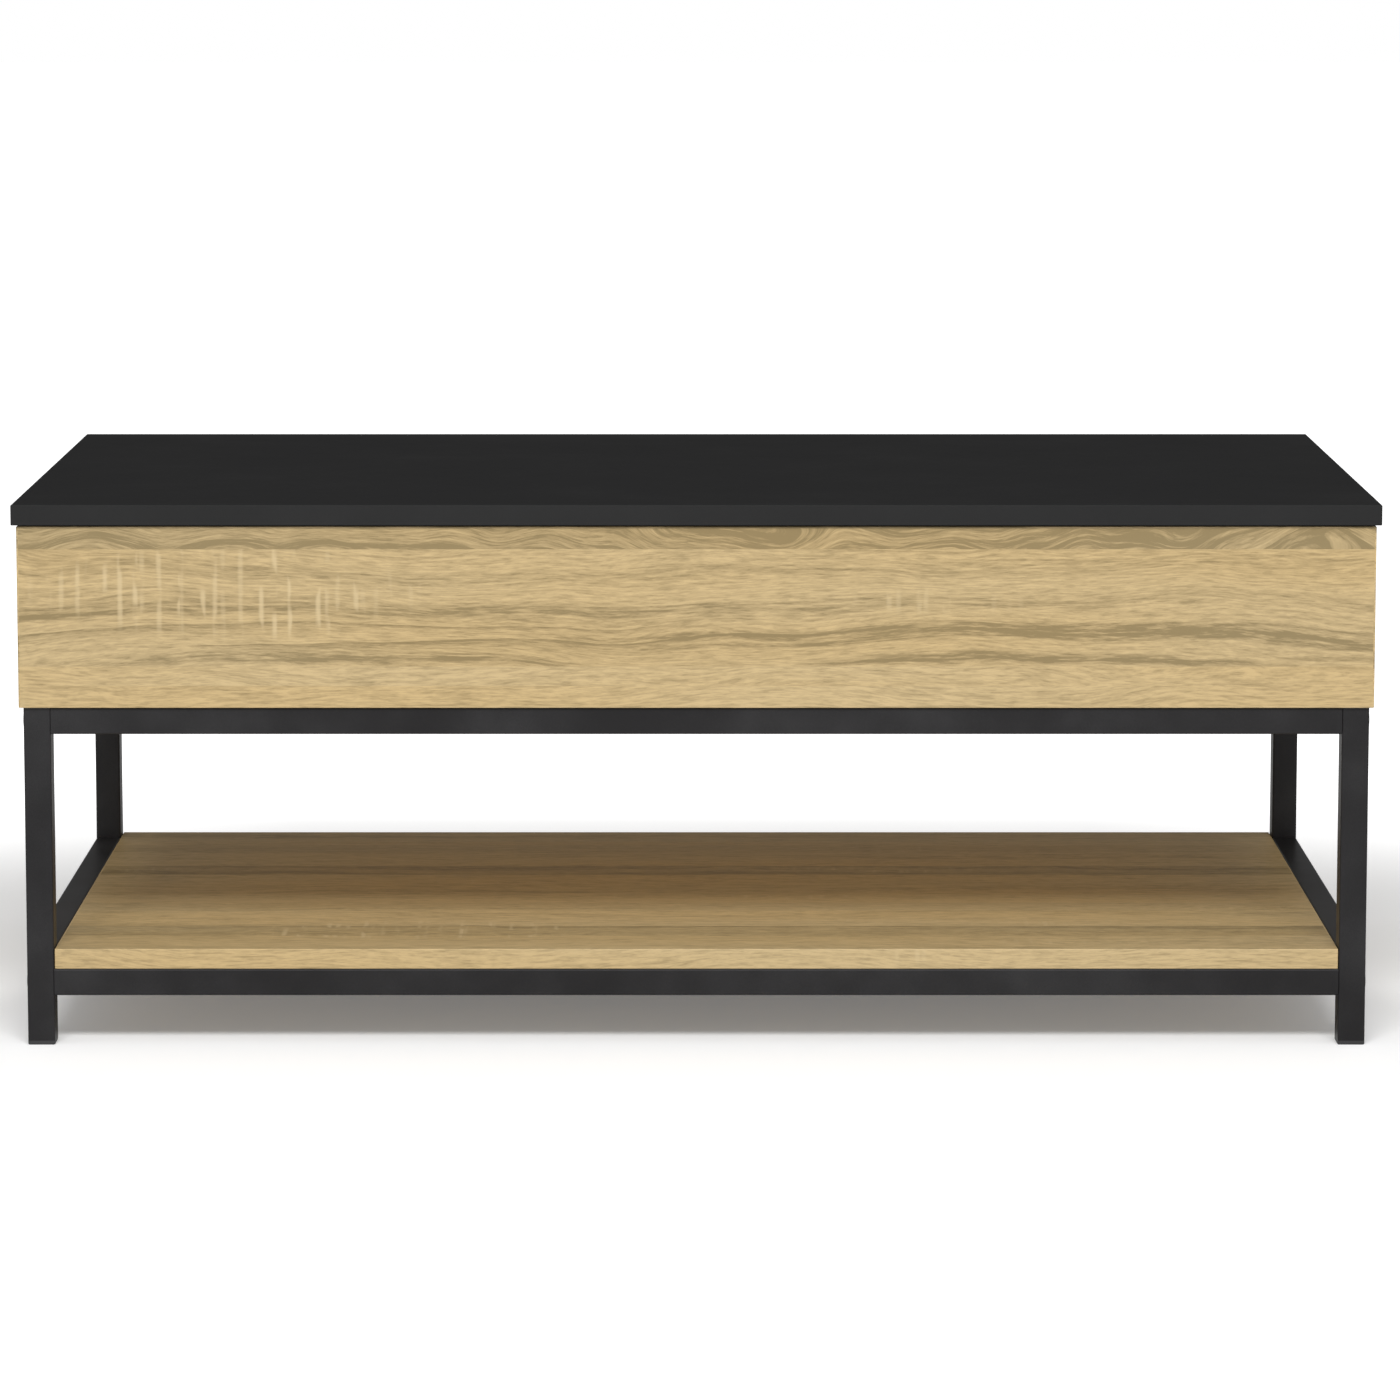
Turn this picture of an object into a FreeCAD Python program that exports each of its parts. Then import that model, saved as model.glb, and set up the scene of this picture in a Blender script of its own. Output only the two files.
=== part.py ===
import FreeCAD, Part
import Sketcher
import math
import os
import re

# Lift top coffee table. Millimetres, +X to the right, +Y to the back, +Z up,
# origin on the floor under the middle of the table.

Vector = FreeCAD.Vector
Rotation = FreeCAD.Rotation

doc = FreeCAD.newDocument("LiftTopCoffeeTable")

# ---------------------------------------------------------------- driving sizes

SIZES = (
    ("top_length", 1000, "table top, left to right"),
    ("top_depth", 500, "table top, front to back"),
    ("top_thickness", 15, "table top board"),
    ("top_overhang", 3.5, "table top beyond the box, all round"),
    ("box_height", 134, "storage box, underside to rim"),
    ("board_thickness", 15, "box panels and shelf"),
    ("pad_thickness", 1, "felt pads between the rim and the top"),
    ("pad_radius", 5, "felt pads"),
    ("pad_inset", 30, "felt pads from the box's front and back faces"),
    ("frame_setback", 3, "steel frame inside the box's outer faces"),
    ("tube_size", 20, "square tube, outside"),
    ("tube_wall", 1.2, "square tube wall"),
    ("tube_round", 1.5, "square tube corner radius"),
    ("leg_length", 249, "leg tube, foot to box"),
    ("glide_height", 3, "plastic foot under the leg tube"),
    ("glide_plug", 12, "part of the foot that goes up the tube"),
    ("glide_play", 0.2, "between the foot's plug and the tube, each side"),
    ("front_rail_height", 37, "floor to the lower front and rear rails"),
    ("side_rail_drop", 1, "lower side rails below the shelf's face"),
    ("shelf_gap", 0.5, "shelf to the side rails and legs"),
    ("bolt_radius", 3, "frame bolt thread"),
    ("bolt_length", 16, "frame bolt under its head"),
    ("bolt_play", 0.3, "frame bolt in the leg's holes, radial"),
    ("bolt_head_radius", 5.5, "frame bolt head"),
    ("bolt_head_height", 3.3, "frame bolt head"),
    ("access_radius", 6.5, "hole in the leg's outer wall that passes a bolt head"),
    ("cap_flange", 1, "cap round its access hole"),
    ("cap_thickness", 0.8, "cap outside the leg"),
    ("cap_plug", 3, "cap inside its access hole"),
    ("nut_plate_thickness", 5, "threaded plate in a rail's end"),
    ("tab_width", 30, "box mounting tab along the rail"),
    ("tab_reach", 25, "box mounting tab in from the rail"),
    ("tab_thickness", 2, "box mounting tab"),
    ("tab_spacing", 330, "between neighbouring tabs"),
    ("screw_radius", 2, "wood screw thread"),
    ("screw_play", 0.3, "wood screw in steel, radial"),
    ("screw_bite", 12, "wood screw in the board"),
    ("screw_head_radius", 4.2, "wood screw head"),
    ("screw_head_height", 2.2, "wood screw head"),
    ("screw_access_radius", 5, "hole in a rail's lower wall that passes a screw head"),
    ("shelf_screw_spacing", 600, "between the two shelf screws of a rail"),
    ("cam_radius", 7.5, "cam lock housing"),
    ("cam_depth", 12, "cam lock housing in the side panel"),
    ("cam_setback", 24, "cam centre from the side panel's end"),
    ("cam_height", 30, "cam centre from the box's underside and from its rim"),
    ("cam_bolt_radius", 3, "cam bolt"),
    ("cam_bolt_bite", 10, "cam bolt in the front or rear panel"),
    ("cam_play", 0.2, "between the cam bolt and the cam's slot, radial"),
    ("dowel_radius", 4, "wooden dowel"),
    ("dowel_length", 30, "wooden dowel"),
    ("dowel_bite", 10, "dowel in the front or rear panel"),
    ("arm_length", 200, "lift arm between its pivots"),
    ("arm_width", 24, "lift arm flat bar"),
    ("arm_thickness", 4, "lift arm flat bar"),
    ("rest_angle", 7.8, "lift arms above level when closed, degrees"),
    ("swing", 110, "lift arms from closed to open, degrees"),
    ("pivot_spacing", 110, "front pivot to rear pivot, front to back"),
    ("pivot_drop", 14, "rear pivot below the front pivot"),
    ("pivot_radius", 4, "pivot rivet"),
    ("running_clearance", 0.05, "arm on its rivet, radial"),
    ("side_play", 0.1, "arm between its washer and the rivet's head"),
    ("plate_thickness", 2, "bracket sheet"),
    ("plate_round", 6, "bracket corner radius"),
    ("washer_thickness", 1, "spacer washer"),
    ("washer_radius", 8, "spacer washer"),
    ("rivet_head_radius", 7, "rivet head"),
    ("rivet_head_height", 2.5, "rivet head"),
    ("rivet_tail_height", 2, "formed end of a top rivet"),
    ("rear_clearance", 23.5, "rear top pivot to the rear panel"),
    ("top_pivot_drop", 19, "front top pivot below the table top"),
    ("bracket_floor_gap", 8, "base bracket above the bottom panel"),
    ("bracket_margin", 14, "bracket sheet round a pivot"),
    ("bracket_nose", 40, "base bracket ahead of the front pivot"),
    ("bracket_crown", 25, "base bracket above the front pivot"),
    ("flange_width", 40, "top bracket's screwed flange"),
    ("flange_nose", 160, "top bracket ahead of the front pivot"),
    ("flange_strip", 17, "top bracket's upright strip, ahead of the pivots"),
    ("flange_screws", 5, "screws in each top bracket"),
    ("lever_length", 30, "spring lever on the front arm"),
    ("lever_angle", 133, "spring lever behind the arm's direction, degrees"),
    ("lever_width", 16, "spring lever"),
    ("spring_pin_radius", 3, "pins that hold the spring's eyes"),
    ("spring_pin_cap", 2, "head on a spring pin"),
    ("spring_post_offset", 50, "fixed spring pin behind the rear base pivot"),
    ("spring_post_height", 25, "fixed spring pin above the bottom panel"),
    ("coil_radius", 7, "spring outside"),
    ("coil_wire", 1, "spring wire radius"),
    ("coil_gap", 0.8, "spring to the rivet heads"),
    ("eye_play", 0.3, "spring eye on its pin"),
    ("stop_radius", 4, "rubber stop sleeve"),
    ("stop_reach", 25, "stop along the open arm from its pivot"),
)

# What follows from them: places and fits, each from the sizes above it.
LAYOUT = (
    ("box_length", "top_length - 2 * top_overhang"),
    ("box_depth", "top_depth - 2 * top_overhang"),
    ("side_inner", "box_length / 2 - board_thickness"),
    ("depth_inner", "box_depth / 2 - board_thickness"),
    ("box_floor", "glide_height + leg_length"),
    ("hollow_floor", "box_floor + board_thickness"),
    ("box_rim", "box_floor + box_height"),
    ("box_middle", "box_floor + box_height / 2"),
    ("top_under", "box_rim + pad_thickness"),
    ("top_face", "top_under + top_thickness"),
    ("frame_x", "box_length / 2 - frame_setback"),
    ("frame_y", "box_depth / 2 - frame_setback"),
    ("leg_x", "frame_x - tube_size / 2"),
    ("leg_y", "frame_y - tube_size / 2"),
    ("rail_x", "frame_x - tube_size"),
    ("rail_y", "frame_y - tube_size"),
    ("bore_half", "tube_size / 2 - tube_wall"),
    ("plug_half", "bore_half - glide_play"),
    ("upper_rail_z", "box_floor - tube_size / 2"),
    ("lower_rail_z", "front_rail_height + tube_size / 2"),
    ("shelf_floor", "front_rail_height + tube_size"),
    ("shelf_face", "shelf_floor + board_thickness"),
    ("side_rail_z", "shelf_face - side_rail_drop - tube_size / 2"),
    ("side_middle", "side_inner + board_thickness / 2"),
    ("cam_y", "depth_inner - cam_setback"),
    # how far in from the side panel's inner face each layer of the lift lies
    ("arm_out", "plate_thickness + washer_thickness + side_play"),
    ("arm_in", "arm_out + arm_thickness"),
    ("head_face", "arm_in + side_play"),
    ("bracket_out", "head_face + washer_thickness"),
    ("bracket_in", "bracket_out + plate_thickness"),
    ("top_head_face", "arm_out - side_play"),
    ("spring_depth", "head_face + rivet_head_height + coil_gap + coil_radius"),
    ("spring_pin_end", "spring_depth + 2 * coil_wire"),
    ("flange_screw_depth", "bracket_out + flange_width / 2 + bracket_in / 4"),
    # the four pivots of a side, closed
    ("rear_top_y", "depth_inner - rear_clearance"),
    ("front_top_y", "rear_top_y - pivot_spacing"),
    ("front_top_z", "top_under - top_pivot_drop"),
    ("rear_top_z", "front_top_z - pivot_drop"),
    ("front_base_y", "front_top_y - arm_length * cos(rest_angle)"),
    ("front_base_z", "front_top_z - arm_length * sin(rest_angle)"),
    ("rear_base_y", "front_base_y + pivot_spacing"),
    ("rear_base_z", "front_base_z - pivot_drop"),
    ("bore_radius", "pivot_radius + running_clearance"),
    # spring, from its fixed post to the lever's pin
    ("post_y", "rear_base_y + spring_post_offset"),
    ("post_z", "hollow_floor + spring_post_height"),
    ("pin_y", "front_base_y + lever_length * cos(rest_angle - lever_angle)"),
    ("pin_z", "front_base_z + lever_length * sin(rest_angle - lever_angle)"),
    ("spring_length", "sqrt((pin_y - post_y)^2 + (pin_z - post_z)^2)"),
    ("spring_angle", "atan2(pin_z - post_z; pin_y - post_y)"),
    ("eye_radius", "spring_pin_radius + eye_play + coil_wire"),
    ("coil_start", "eye_radius + 3 * coil_wire"),
    # rubber stop, against the open front arm's lower edge
    ("open_angle", "rest_angle + swing"),
    ("stop_side", "arm_width / 2 + side_play + stop_radius"),
    ("stop_y", "front_base_y + stop_reach * cos(open_angle) - stop_side * sin(open_angle)"),
    ("stop_z", "front_base_z + stop_reach * sin(open_angle) + stop_side * cos(open_angle)"),
    # outlines of the brackets
    ("plate_low", "hollow_floor + bracket_floor_gap"),
    ("plate_front", "front_base_y - bracket_nose"),
    ("plate_rear", "post_y + bracket_margin"),
    ("plate_crown", "front_base_z + bracket_crown"),
    ("flange_front", "front_top_y - flange_nose"),
    ("flange_rear", "rear_top_y + bracket_margin"),
    ("strip_low", "top_under - flange_strip"),
    ("flange_pitch", "(flange_rear - flange_front) / flange_screws"),
)

SHEET_OF = {}


def formula(text, own_sheet=""):
    """Put the sheet's name before every alias that is used outside its own sheet."""

    def qualify(match):
        word = match.group()
        sheet = SHEET_OF.get(word, own_sheet)
        return word if sheet == own_sheet else f"{sheet}.{word}"

    return re.sub(r"[a-z_]+", qualify, str(text))


def add_sheet(name, rows):
    sheet = doc.addObject("Spreadsheet::Sheet", name)
    for row, (alias, content, note) in enumerate(rows, 1):
        sheet.set(f"A{row}", note)
        sheet.set(f"B{row}", content)
        sheet.setAlias(f"B{row}", alias)
        SHEET_OF[alias] = name
    doc.recompute()
    return sheet


sizes = add_sheet("Sizes", [(alias, str(size), note) for alias, size, note in SIZES])
for alias, _ in LAYOUT:
    SHEET_OF[alias] = "Layout"
add_sheet("Layout", [(alias, "=" + formula(text, "Layout"), "worked out") for alias, text in LAYOUT])


def value(text):
    """A formula's present value, for the first drawing of a sketch."""
    return float(sizes.evalExpression(formula(text)))


# ---------------------------------------------------------------- making solids

# Turns a cylinder, cone or torus from +Z to the named direction.
TURNS = {
    "+X": Rotation(Vector(0, 1, 0), 90),
    "-X": Rotation(Vector(0, 1, 0), -90),
    "+Y": Rotation(Vector(1, 0, 0), -90),
    "-Y": Rotation(Vector(1, 0, 0), 90),
    "+Z": Rotation(),
    "-Z": Rotation(Vector(1, 0, 0), 180),
}


def both(text):
    """The pair of limits that reaches as far to each side of the middle."""
    return f"-({text})", text


def bind(item, at, **bound):
    for name, text in bound.items():
        item.setExpression(name, formula(text))
    for axis, text in zip("xyz", at):
        item.setExpression(f"Placement.Base.{axis}", formula(text))
    return item


def box(name, x, y, z):
    """A box between three pairs of limits."""
    item = doc.addObject("Part::Box", name)
    spans = [f"({high}) - ({low})" for low, high in (x, y, z)]
    return bind(item, (x[0], y[0], z[0]), Length=spans[0], Width=spans[1], Height=spans[2])


def rod(name, radius, length, toward, at):
    """A cylinder that starts at a point and runs the named way."""
    item = doc.addObject("Part::Cylinder", name)
    item.Placement = FreeCAD.Placement(Vector(), TURNS[toward])
    return bind(item, at, Radius=radius, Height=length)


def cone(name, start_radius, end_radius, length, toward, at):
    item = doc.addObject("Part::Cone", name)
    item.Placement = FreeCAD.Placement(Vector(), TURNS[toward])
    return bind(item, at, Radius1=start_radius, Radius2=end_radius, Height=length)


def join(name, solids):
    item = doc.addObject("Part::MultiFuse", name)
    item.Shapes = solids
    return item


def group(name, solids):
    item = doc.addObject("Part::Compound", name)
    item.Links = solids
    return item


def drill(name, base, holes):
    """Take the hole solids out of the base."""
    item = doc.addObject("Part::Cut", name)
    item.Base = base
    item.Tool = holes[0] if len(holes) == 1 else group(f"{name}_holes", holes)
    return item


# ---------------------------------------------------------------- sketched bodies


def sketch_on(body, plane, name):
    item = body.newObject("Sketcher::SketchObject", f"{body.Name}_{name}")
    origin_plane = next(f for f in body.Origin.OriginFeatures if f.Role == f"{plane}_Plane")
    item.AttachmentSupport = [(origin_plane, "")]
    item.MapMode = "FlatFace"
    return item


def hold_point(sketch, geometry, corner, x, y):
    """Tie a sketch point to its two formulas, measured from the origin."""
    for kind, text in (("DistanceX", x), ("DistanceY", y)):
        index = sketch.addConstraint(Sketcher.Constraint(kind, -1, 1, geometry, corner, value(text)))
        sketch.setExpression(f"Constraints[{index}]", formula(text))


def outline(sketch, points):
    """A closed outline of straight lines through bound points."""
    first = sketch.GeometryCount
    corners = [Vector(value(x), value(y), 0) for x, y in points]
    count = len(corners)
    for here in range(count):
        sketch.addGeometry(Part.LineSegment(corners[here], corners[(here + 1) % count]), False)
    for here in range(count):
        after = first + (here + 1) % count
        sketch.addConstraint(Sketcher.Constraint("Coincident", first + here, 2, after, 1))
    for here, (x, y) in enumerate(points):
        hold_point(sketch, first + here, 1, x, y)


def circle(sketch, radius, x, y):
    middle = Vector(value(x), value(y), 0)
    edge = sketch.addGeometry(Part.Circle(middle, Vector(0, 0, 1), value(radius)), False)
    index = sketch.addConstraint(Sketcher.Constraint("Radius", edge, value(radius)))
    sketch.setExpression(f"Constraints[{index}]", formula(radius))
    hold_point(sketch, edge, 3, x, y)


def bar(sketch, radius, x, y):
    """A round-ended bar from the origin to a bound point."""
    end = Vector(value(x), value(y), 0)
    reach = value(radius)
    across = Vector(-end.y, end.x, 0).normalize() * reach
    heading = Part.LineSegment(Vector(), end)
    angle = math.atan2(end.y, end.x)
    quarter = math.pi / 2
    first = sketch.GeometryCount
    start_round = Part.Circle(heading.StartPoint, Vector(0, 0, 1), reach)
    end_round = Part.Circle(heading.EndPoint, Vector(0, 0, 1), reach)
    sketch.addGeometry(Part.ArcOfCircle(start_round, angle + quarter, angle + 3 * quarter), False)
    sketch.addGeometry(Part.LineSegment(-across, end - across), False)
    sketch.addGeometry(Part.ArcOfCircle(end_round, angle - quarter, angle + quarter), False)
    sketch.addGeometry(Part.LineSegment(end + across, across), False)
    for here in range(4):
        after = first + (here + 1) % 4
        sketch.addConstraint(Sketcher.Constraint("Tangent", first + here, 2, after, 1))
    sketch.addConstraint(Sketcher.Constraint("Equal", first, first + 2))
    index = sketch.addConstraint(Sketcher.Constraint("Radius", first, reach))
    sketch.setExpression(f"Constraints[{index}]", formula(radius))
    hold_point(sketch, first, 3, "0", "0")
    hold_point(sketch, first + 2, 3, x, y)


def pad(body, sketch, length, backward=False, symmetric=False):
    item = body.newObject("PartDesign::Pad", f"{sketch.Name}_pad")
    item.Profile = sketch
    item.setExpression("Length", formula(length))
    item.Reversed = backward
    if symmetric:
        item.SideType = "Symmetric"


def cut_through(body, sketch, side=0):
    """Cut right through the body, or only on the side of the sketch that 1 or -1 names."""
    item = body.newObject("PartDesign::Pocket", f"{sketch.Name}_cut")
    item.Profile = sketch
    item.Type = "ThroughAll"
    item.SideType = "One side" if side else "Symmetric"
    item.Reversed = side > 0


def round_edges(body, direction, radius, wanted):
    """Round the body's straight edges along a direction whose middles are wanted."""
    doc.recompute()
    names = []
    for number, edge in enumerate(body.Tip.Shape.Edges, 1):
        if edge.Curve.TypeId != "Part::GeomLine":
            continue
        along = abs(edge.Curve.Direction.dot(direction))
        if along > 0.999 and wanted(edge.CenterOfMass):
            names.append(f"Edge{number}")
    base = body.Tip
    item = body.newObject("PartDesign::Fillet", f"{body.Name}_round")
    item.Base = (base, names)
    item.setExpression("Radius", formula(radius))


def square_tube(name, plane, length, at, symmetric=True):
    """Square tube with rounded corners, drawn across its length on the named plane."""
    body = doc.addObject("PartDesign::Body", name)
    section = sketch_on(body, plane, "section")
    for half in ("tube_size / 2", "bore_half"):
        low, high = both(half)
        outline(section, ((low, low), (high, low), (high, high), (low, high)))
    pad(body, section, length, symmetric=symmetric)
    along = {"YZ": Vector(1, 0, 0), "XZ": Vector(0, 1, 0), "XY": Vector(0, 0, 1)}[plane]
    bore = value("bore_half") * 1.01

    def is_outside(middle):
        return all(abs(part) > bore for part, run in zip(middle, along) if not run)

    round_edges(body, along, "tube_round", is_outside)
    return bind(body, at)


def cross_holes(body, plane, radius, places, side=0):
    """Holes through both walls of a body, or one, square to the named plane."""
    holes = sketch_on(body, plane, f"{plane}_holes")
    for x, y in places:
        circle(holes, radius, x, y)
    cut_through(body, holes, side)


SIDES = {"left": -1, "right": 1}
ENDS = {"front": -1, "rear": 1}
NODES = []


def keep(*items):
    """Hand these objects in: each one's label names its file."""
    NODES.extend(items)


# ---------------------------------------------------------------- steel frame

bolt_hole = "bolt_radius + bolt_play"
screw_hole = "screw_radius + screw_play"
shelf_screw_x = both("shelf_screw_spacing / 2")

for end, back in ENDS.items():
    for side, right in SIDES.items():
        leg = square_tube(
            f"{end}_{side}_leg",
            "XY",
            "leg_length",
            (f"{right} * leg_x", f"{back} * leg_y", "glide_height"),
            symmetric=False,
        )
        bolt_places = [("0", f"{rail} - glide_height") for rail in ("lower_rail_z", "upper_rail_z")]
        cross_holes(leg, "YZ", bolt_hole, bolt_places)
        cross_holes(leg, "YZ", "access_radius", bolt_places, right)
        keep(leg)
    upper = square_tube(
        f"upper_{end}_rail", "YZ", "2 * rail_x", ("0", f"{back} * leg_y", "upper_rail_z")
    )
    lower = square_tube(
        f"lower_{end}_rail", "YZ", "2 * rail_x", ("0", f"{back} * leg_y", "lower_rail_z")
    )
    screw_places = [(x, "0") for x in shelf_screw_x]
    cross_holes(lower, "XY", screw_hole, screw_places)
    cross_holes(lower, "XY", "screw_access_radius", screw_places, -1)
    keep(upper, lower)

for side, right in SIDES.items():
    for level, height in (("upper", "upper_rail_z"), ("lower", "side_rail_z")):
        place = (f"{right} * leg_x", "0", height)
        keep(square_tube(f"{level}_{side}_rail", "XZ", "2 * rail_y", place))

glides = []
nut_plates = []
frame_bolts = []
caps = []
for end, back in ENDS.items():
    for side, right in SIDES.items():
        corner = f"{end}_{side}"
        x = f"{right} * leg_x"
        y = f"{back} * leg_y"
        foot = box(
            f"{corner}_foot",
            (f"{x} - tube_size / 2", f"{x} + tube_size / 2"),
            (f"{y} - tube_size / 2", f"{y} + tube_size / 2"),
            ("0", "glide_height"),
        )
        plug = box(
            f"{corner}_plug",
            (f"{x} - plug_half", f"{x} + plug_half"),
            (f"{y} - plug_half", f"{y} + plug_half"),
            ("glide_height", "glide_height + glide_plug"),
        )
        glides.append(join(f"{corner}_glide", [foot, plug]))
        for level, height in (("lower", "lower_rail_z"), ("upper", "upper_rail_z")):
            name = f"{corner}_{level}"
            plate_x = [f"{right} * rail_x", f"{right} * (rail_x - nut_plate_thickness)"]
            blank = box(
                f"{name}_nut_blank",
                sorted(plate_x, key=value),
                (f"{y} - bore_half", f"{y} + bore_half"),
                (f"{height} - bore_half", f"{height} + bore_half"),
            )
            outward = "+X" if right > 0 else "-X"
            inward = "-X" if right > 0 else "+X"
            thread = rod(
                f"{name}_thread",
                "bolt_radius",
                "nut_plate_thickness",
                inward,
                (f"{right} * rail_x", y, height),
            )
            nut_plates.append(drill(f"{name}_nut", blank, [thread]))
            seat = (f"{right} * (leg_x - bore_half)", y, height)
            shank = rod(f"{name}_shank", "bolt_radius", "bolt_length", inward, seat)
            head = rod(f"{name}_head", "bolt_head_radius", "bolt_head_height", outward, seat)
            frame_bolts.append(join(f"{name}_bolt", [shank, head]))
            mouth = (f"{right} * frame_x", y, height)
            plug = rod(f"{name}_cap_plug", "access_radius", "cap_plug", inward, mouth)
            rim = "access_radius + cap_flange"
            flange = rod(f"{name}_cap_flange", rim, "cap_thickness", outward, mouth)
            caps.append(join(f"{name}_cap", [plug, flange]))

keep(group("leg_glides", glides), group("rail_nut_plates", nut_plates))
keep(group("frame_bolts", frame_bolts), group("bolt_caps", caps))

# ---------------------------------------------------------------- shelf and its screws

shelf_blank = box(
    "shelf_board", both("rail_x - shelf_gap"), both("frame_y"), ("shelf_floor", "shelf_face")
)
shelf_screws = []
shelf_pilots = []
for end, back in ENDS.items():
    for number, x in enumerate(shelf_screw_x):
        name = f"shelf_{end}_{number}"
        y = f"{back} * leg_y"
        start = (x, y, "lower_rail_z + bore_half")
        length = "tube_size / 2 - bore_half + screw_bite"
        shank = rod(f"{name}_shank", "screw_radius", length, "+Z", start)
        head = rod(f"{name}_head", "screw_head_radius", "screw_head_height", "-Z", start)
        shelf_screws.append(join(f"{name}_screw", [shank, head]))
        pilot_start = (x, y, "shelf_floor")
        shelf_pilots.append(rod(f"{name}_pilot", "screw_radius", "screw_bite", "+Z", pilot_start))

keep(drill("lower_shelf", shelf_blank, shelf_pilots), group("shelf_screws", shelf_screws))

# ---------------------------------------------------------------- box mounting tabs

tabs = []
box_screws = []
bottom_pilots = []
for end, back in ENDS.items():
    for number, x in enumerate(("-tab_spacing", "0", "tab_spacing")):
        name = f"tab_{end}_{number}"
        reach = [f"{back} * rail_y", f"{back} * (rail_y - tab_reach)"]
        blank = box(
            f"{name}_blank",
            (f"{x} - tab_width / 2", f"{x} + tab_width / 2"),
            sorted(reach, key=value),
            ("box_floor - tab_thickness", "box_floor"),
        )
        y = f"{back} * (rail_y - tab_reach / 2)"
        start = (x, y, "box_floor - tab_thickness")
        hole = rod(f"{name}_hole", screw_hole, "tab_thickness", "+Z", start)
        tabs.append(drill(name, blank, [hole]))
        length = "tab_thickness + screw_bite"
        shank = rod(f"{name}_shank", "screw_radius", length, "+Z", start)
        head = rod(f"{name}_head", "screw_head_radius", "screw_head_height", "-Z", start)
        box_screws.append(join(f"{name}_screw", [shank, head]))
        pilot_start = (x, y, "box_floor")
        bottom_pilots.append(rod(f"{name}_pilot", "screw_radius", "screw_bite", "+Z", pilot_start))

keep(group("box_mounting_tabs", tabs), group("box_fixing_screws", box_screws))

# ---------------------------------------------------------------- cam locks and dowels

panel_holes = {name: [] for name in ("front", "rear", "left", "right")}
bottom_holes = list(bottom_pilots)
cams = []
cam_bolts = []
dowels = []


def add_dowel(name, end, x, z):
    """A dowel from the front or rear panel into the edge that meets it."""
    back = ENDS[end]
    toward = "-Y" if back > 0 else "+Y"
    start = (x, f"{back} * (depth_inner + dowel_bite)", z)
    dowels.append(rod(name, "dowel_radius", "dowel_length", toward, start))
    panel_holes[end].append(rod(f"{name}_hole", "dowel_radius", "dowel_length", toward, start))
    return rod(f"{name}_edge_hole", "dowel_radius", "dowel_length", toward, start)


for end, back in ENDS.items():
    toward = "-Y" if back > 0 else "+Y"
    outward = "+Y" if back > 0 else "-Y"
    for side, right in SIDES.items():
        into_panel = "+X" if right > 0 else "-X"
        x = f"{right} * side_middle"
        cam_heights = ("box_floor + cam_height", "box_rim - cam_height")
        for number, z in enumerate(cam_heights):
            name = f"{end}_{side}_cam_{number}"
            centre = (f"{right} * side_inner", f"{back} * cam_y", z)
            blank = rod(f"{name}_blank", "cam_radius", "cam_depth", into_panel, centre)
            slot_radius = "cam_bolt_radius + cam_play"
            slot_start = (x, f"{back} * cam_y", z)
            slot = rod(f"{name}_slot", slot_radius, "cam_radius * 2", outward, slot_start)
            cams.append(drill(name, blank, [slot]))
            bolt_start = (x, f"{back} * (depth_inner + cam_bolt_bite)", z)
            length = "cam_bolt_bite + cam_setback"
            cam_bolts.append(rod(f"{name}_bolt", "cam_bolt_radius", length, toward, bolt_start))
            panel_holes[side].append(
                rod(f"{name}_pocket", "cam_radius", "cam_depth", into_panel, centre)
            )
            panel_holes[side].append(
                rod(f"{name}_edge_hole", slot_radius, "cam_setback", outward, slot_start)
            )
            panel_holes[end].append(
                rod(f"{name}_thread", "cam_bolt_radius", length, toward, bolt_start)
            )
        panel_holes[side].append(add_dowel(f"{end}_{side}_dowel", end, x, "box_middle"))
    for number, share in enumerate((-0.75, -0.25, 0.25, 0.75)):
        x = f"{share} * tab_spacing"
        name = f"{end}_bottom_dowel_{number}"
        bottom_holes.append(add_dowel(name, end, x, "box_floor + board_thickness / 2"))

keep(group("cam_housings", cams), group("cam_bolts", cam_bolts), group("wood_dowels", dowels))

# ---------------------------------------------------------------- lift mechanism

base_pivots = (("front_base_y", "front_base_z"), ("rear_base_y", "rear_base_z"))
top_pivots = (("front_top_y", "front_top_z"), ("rear_top_y", "rear_top_z"))
plate_screw_places = (
    ("front_base_y - 10", "plate_low + 10"),
    ("rear_base_y + 20", "plate_low + 10"),
    ("front_base_y + 30", "plate_crown - 10"),
    ("rear_base_y + 38", "rear_base_z + 4"),
)


class LiftSide:
    """The layers of one side's lift, counted inward from its side panel."""

    def __init__(self, side):
        self.side = side
        self.sign = SIDES[side]
        self.inward = "-X" if self.sign > 0 else "+X"
        self.outward = "+X" if self.sign > 0 else "-X"

    def at(self, depth, y, z):
        return f"{self.sign} * (side_inner - ({depth}))", y, z

    def rod(self, name, radius, start, end, place):
        """A cylinder between two depths."""
        length = f"({end}) - ({start})"
        return rod(f"{self.side}_{name}", radius, length, self.inward, self.at(start, *place))

    def cone(self, name, start_radius, end_radius, start, end, place):
        length = f"({end}) - ({start})"
        spot = self.at(start, *place)
        return cone(f"{self.side}_{name}", start_radius, end_radius, length, self.inward, spot)

    def sheet(self, name, profiles, depth):
        """A sheet body from profiles in the Y-Z plane, each padded inward."""
        body = doc.addObject("PartDesign::Body", f"{self.side}_{name}")
        for number, (draw, length) in enumerate(profiles):
            sketch = sketch_on(body, "YZ", f"profile_{number}")
            draw(sketch)
            pad(body, sketch, length, backward=self.sign > 0)
        return bind(body, self.at(depth, "0", "0"))


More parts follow.
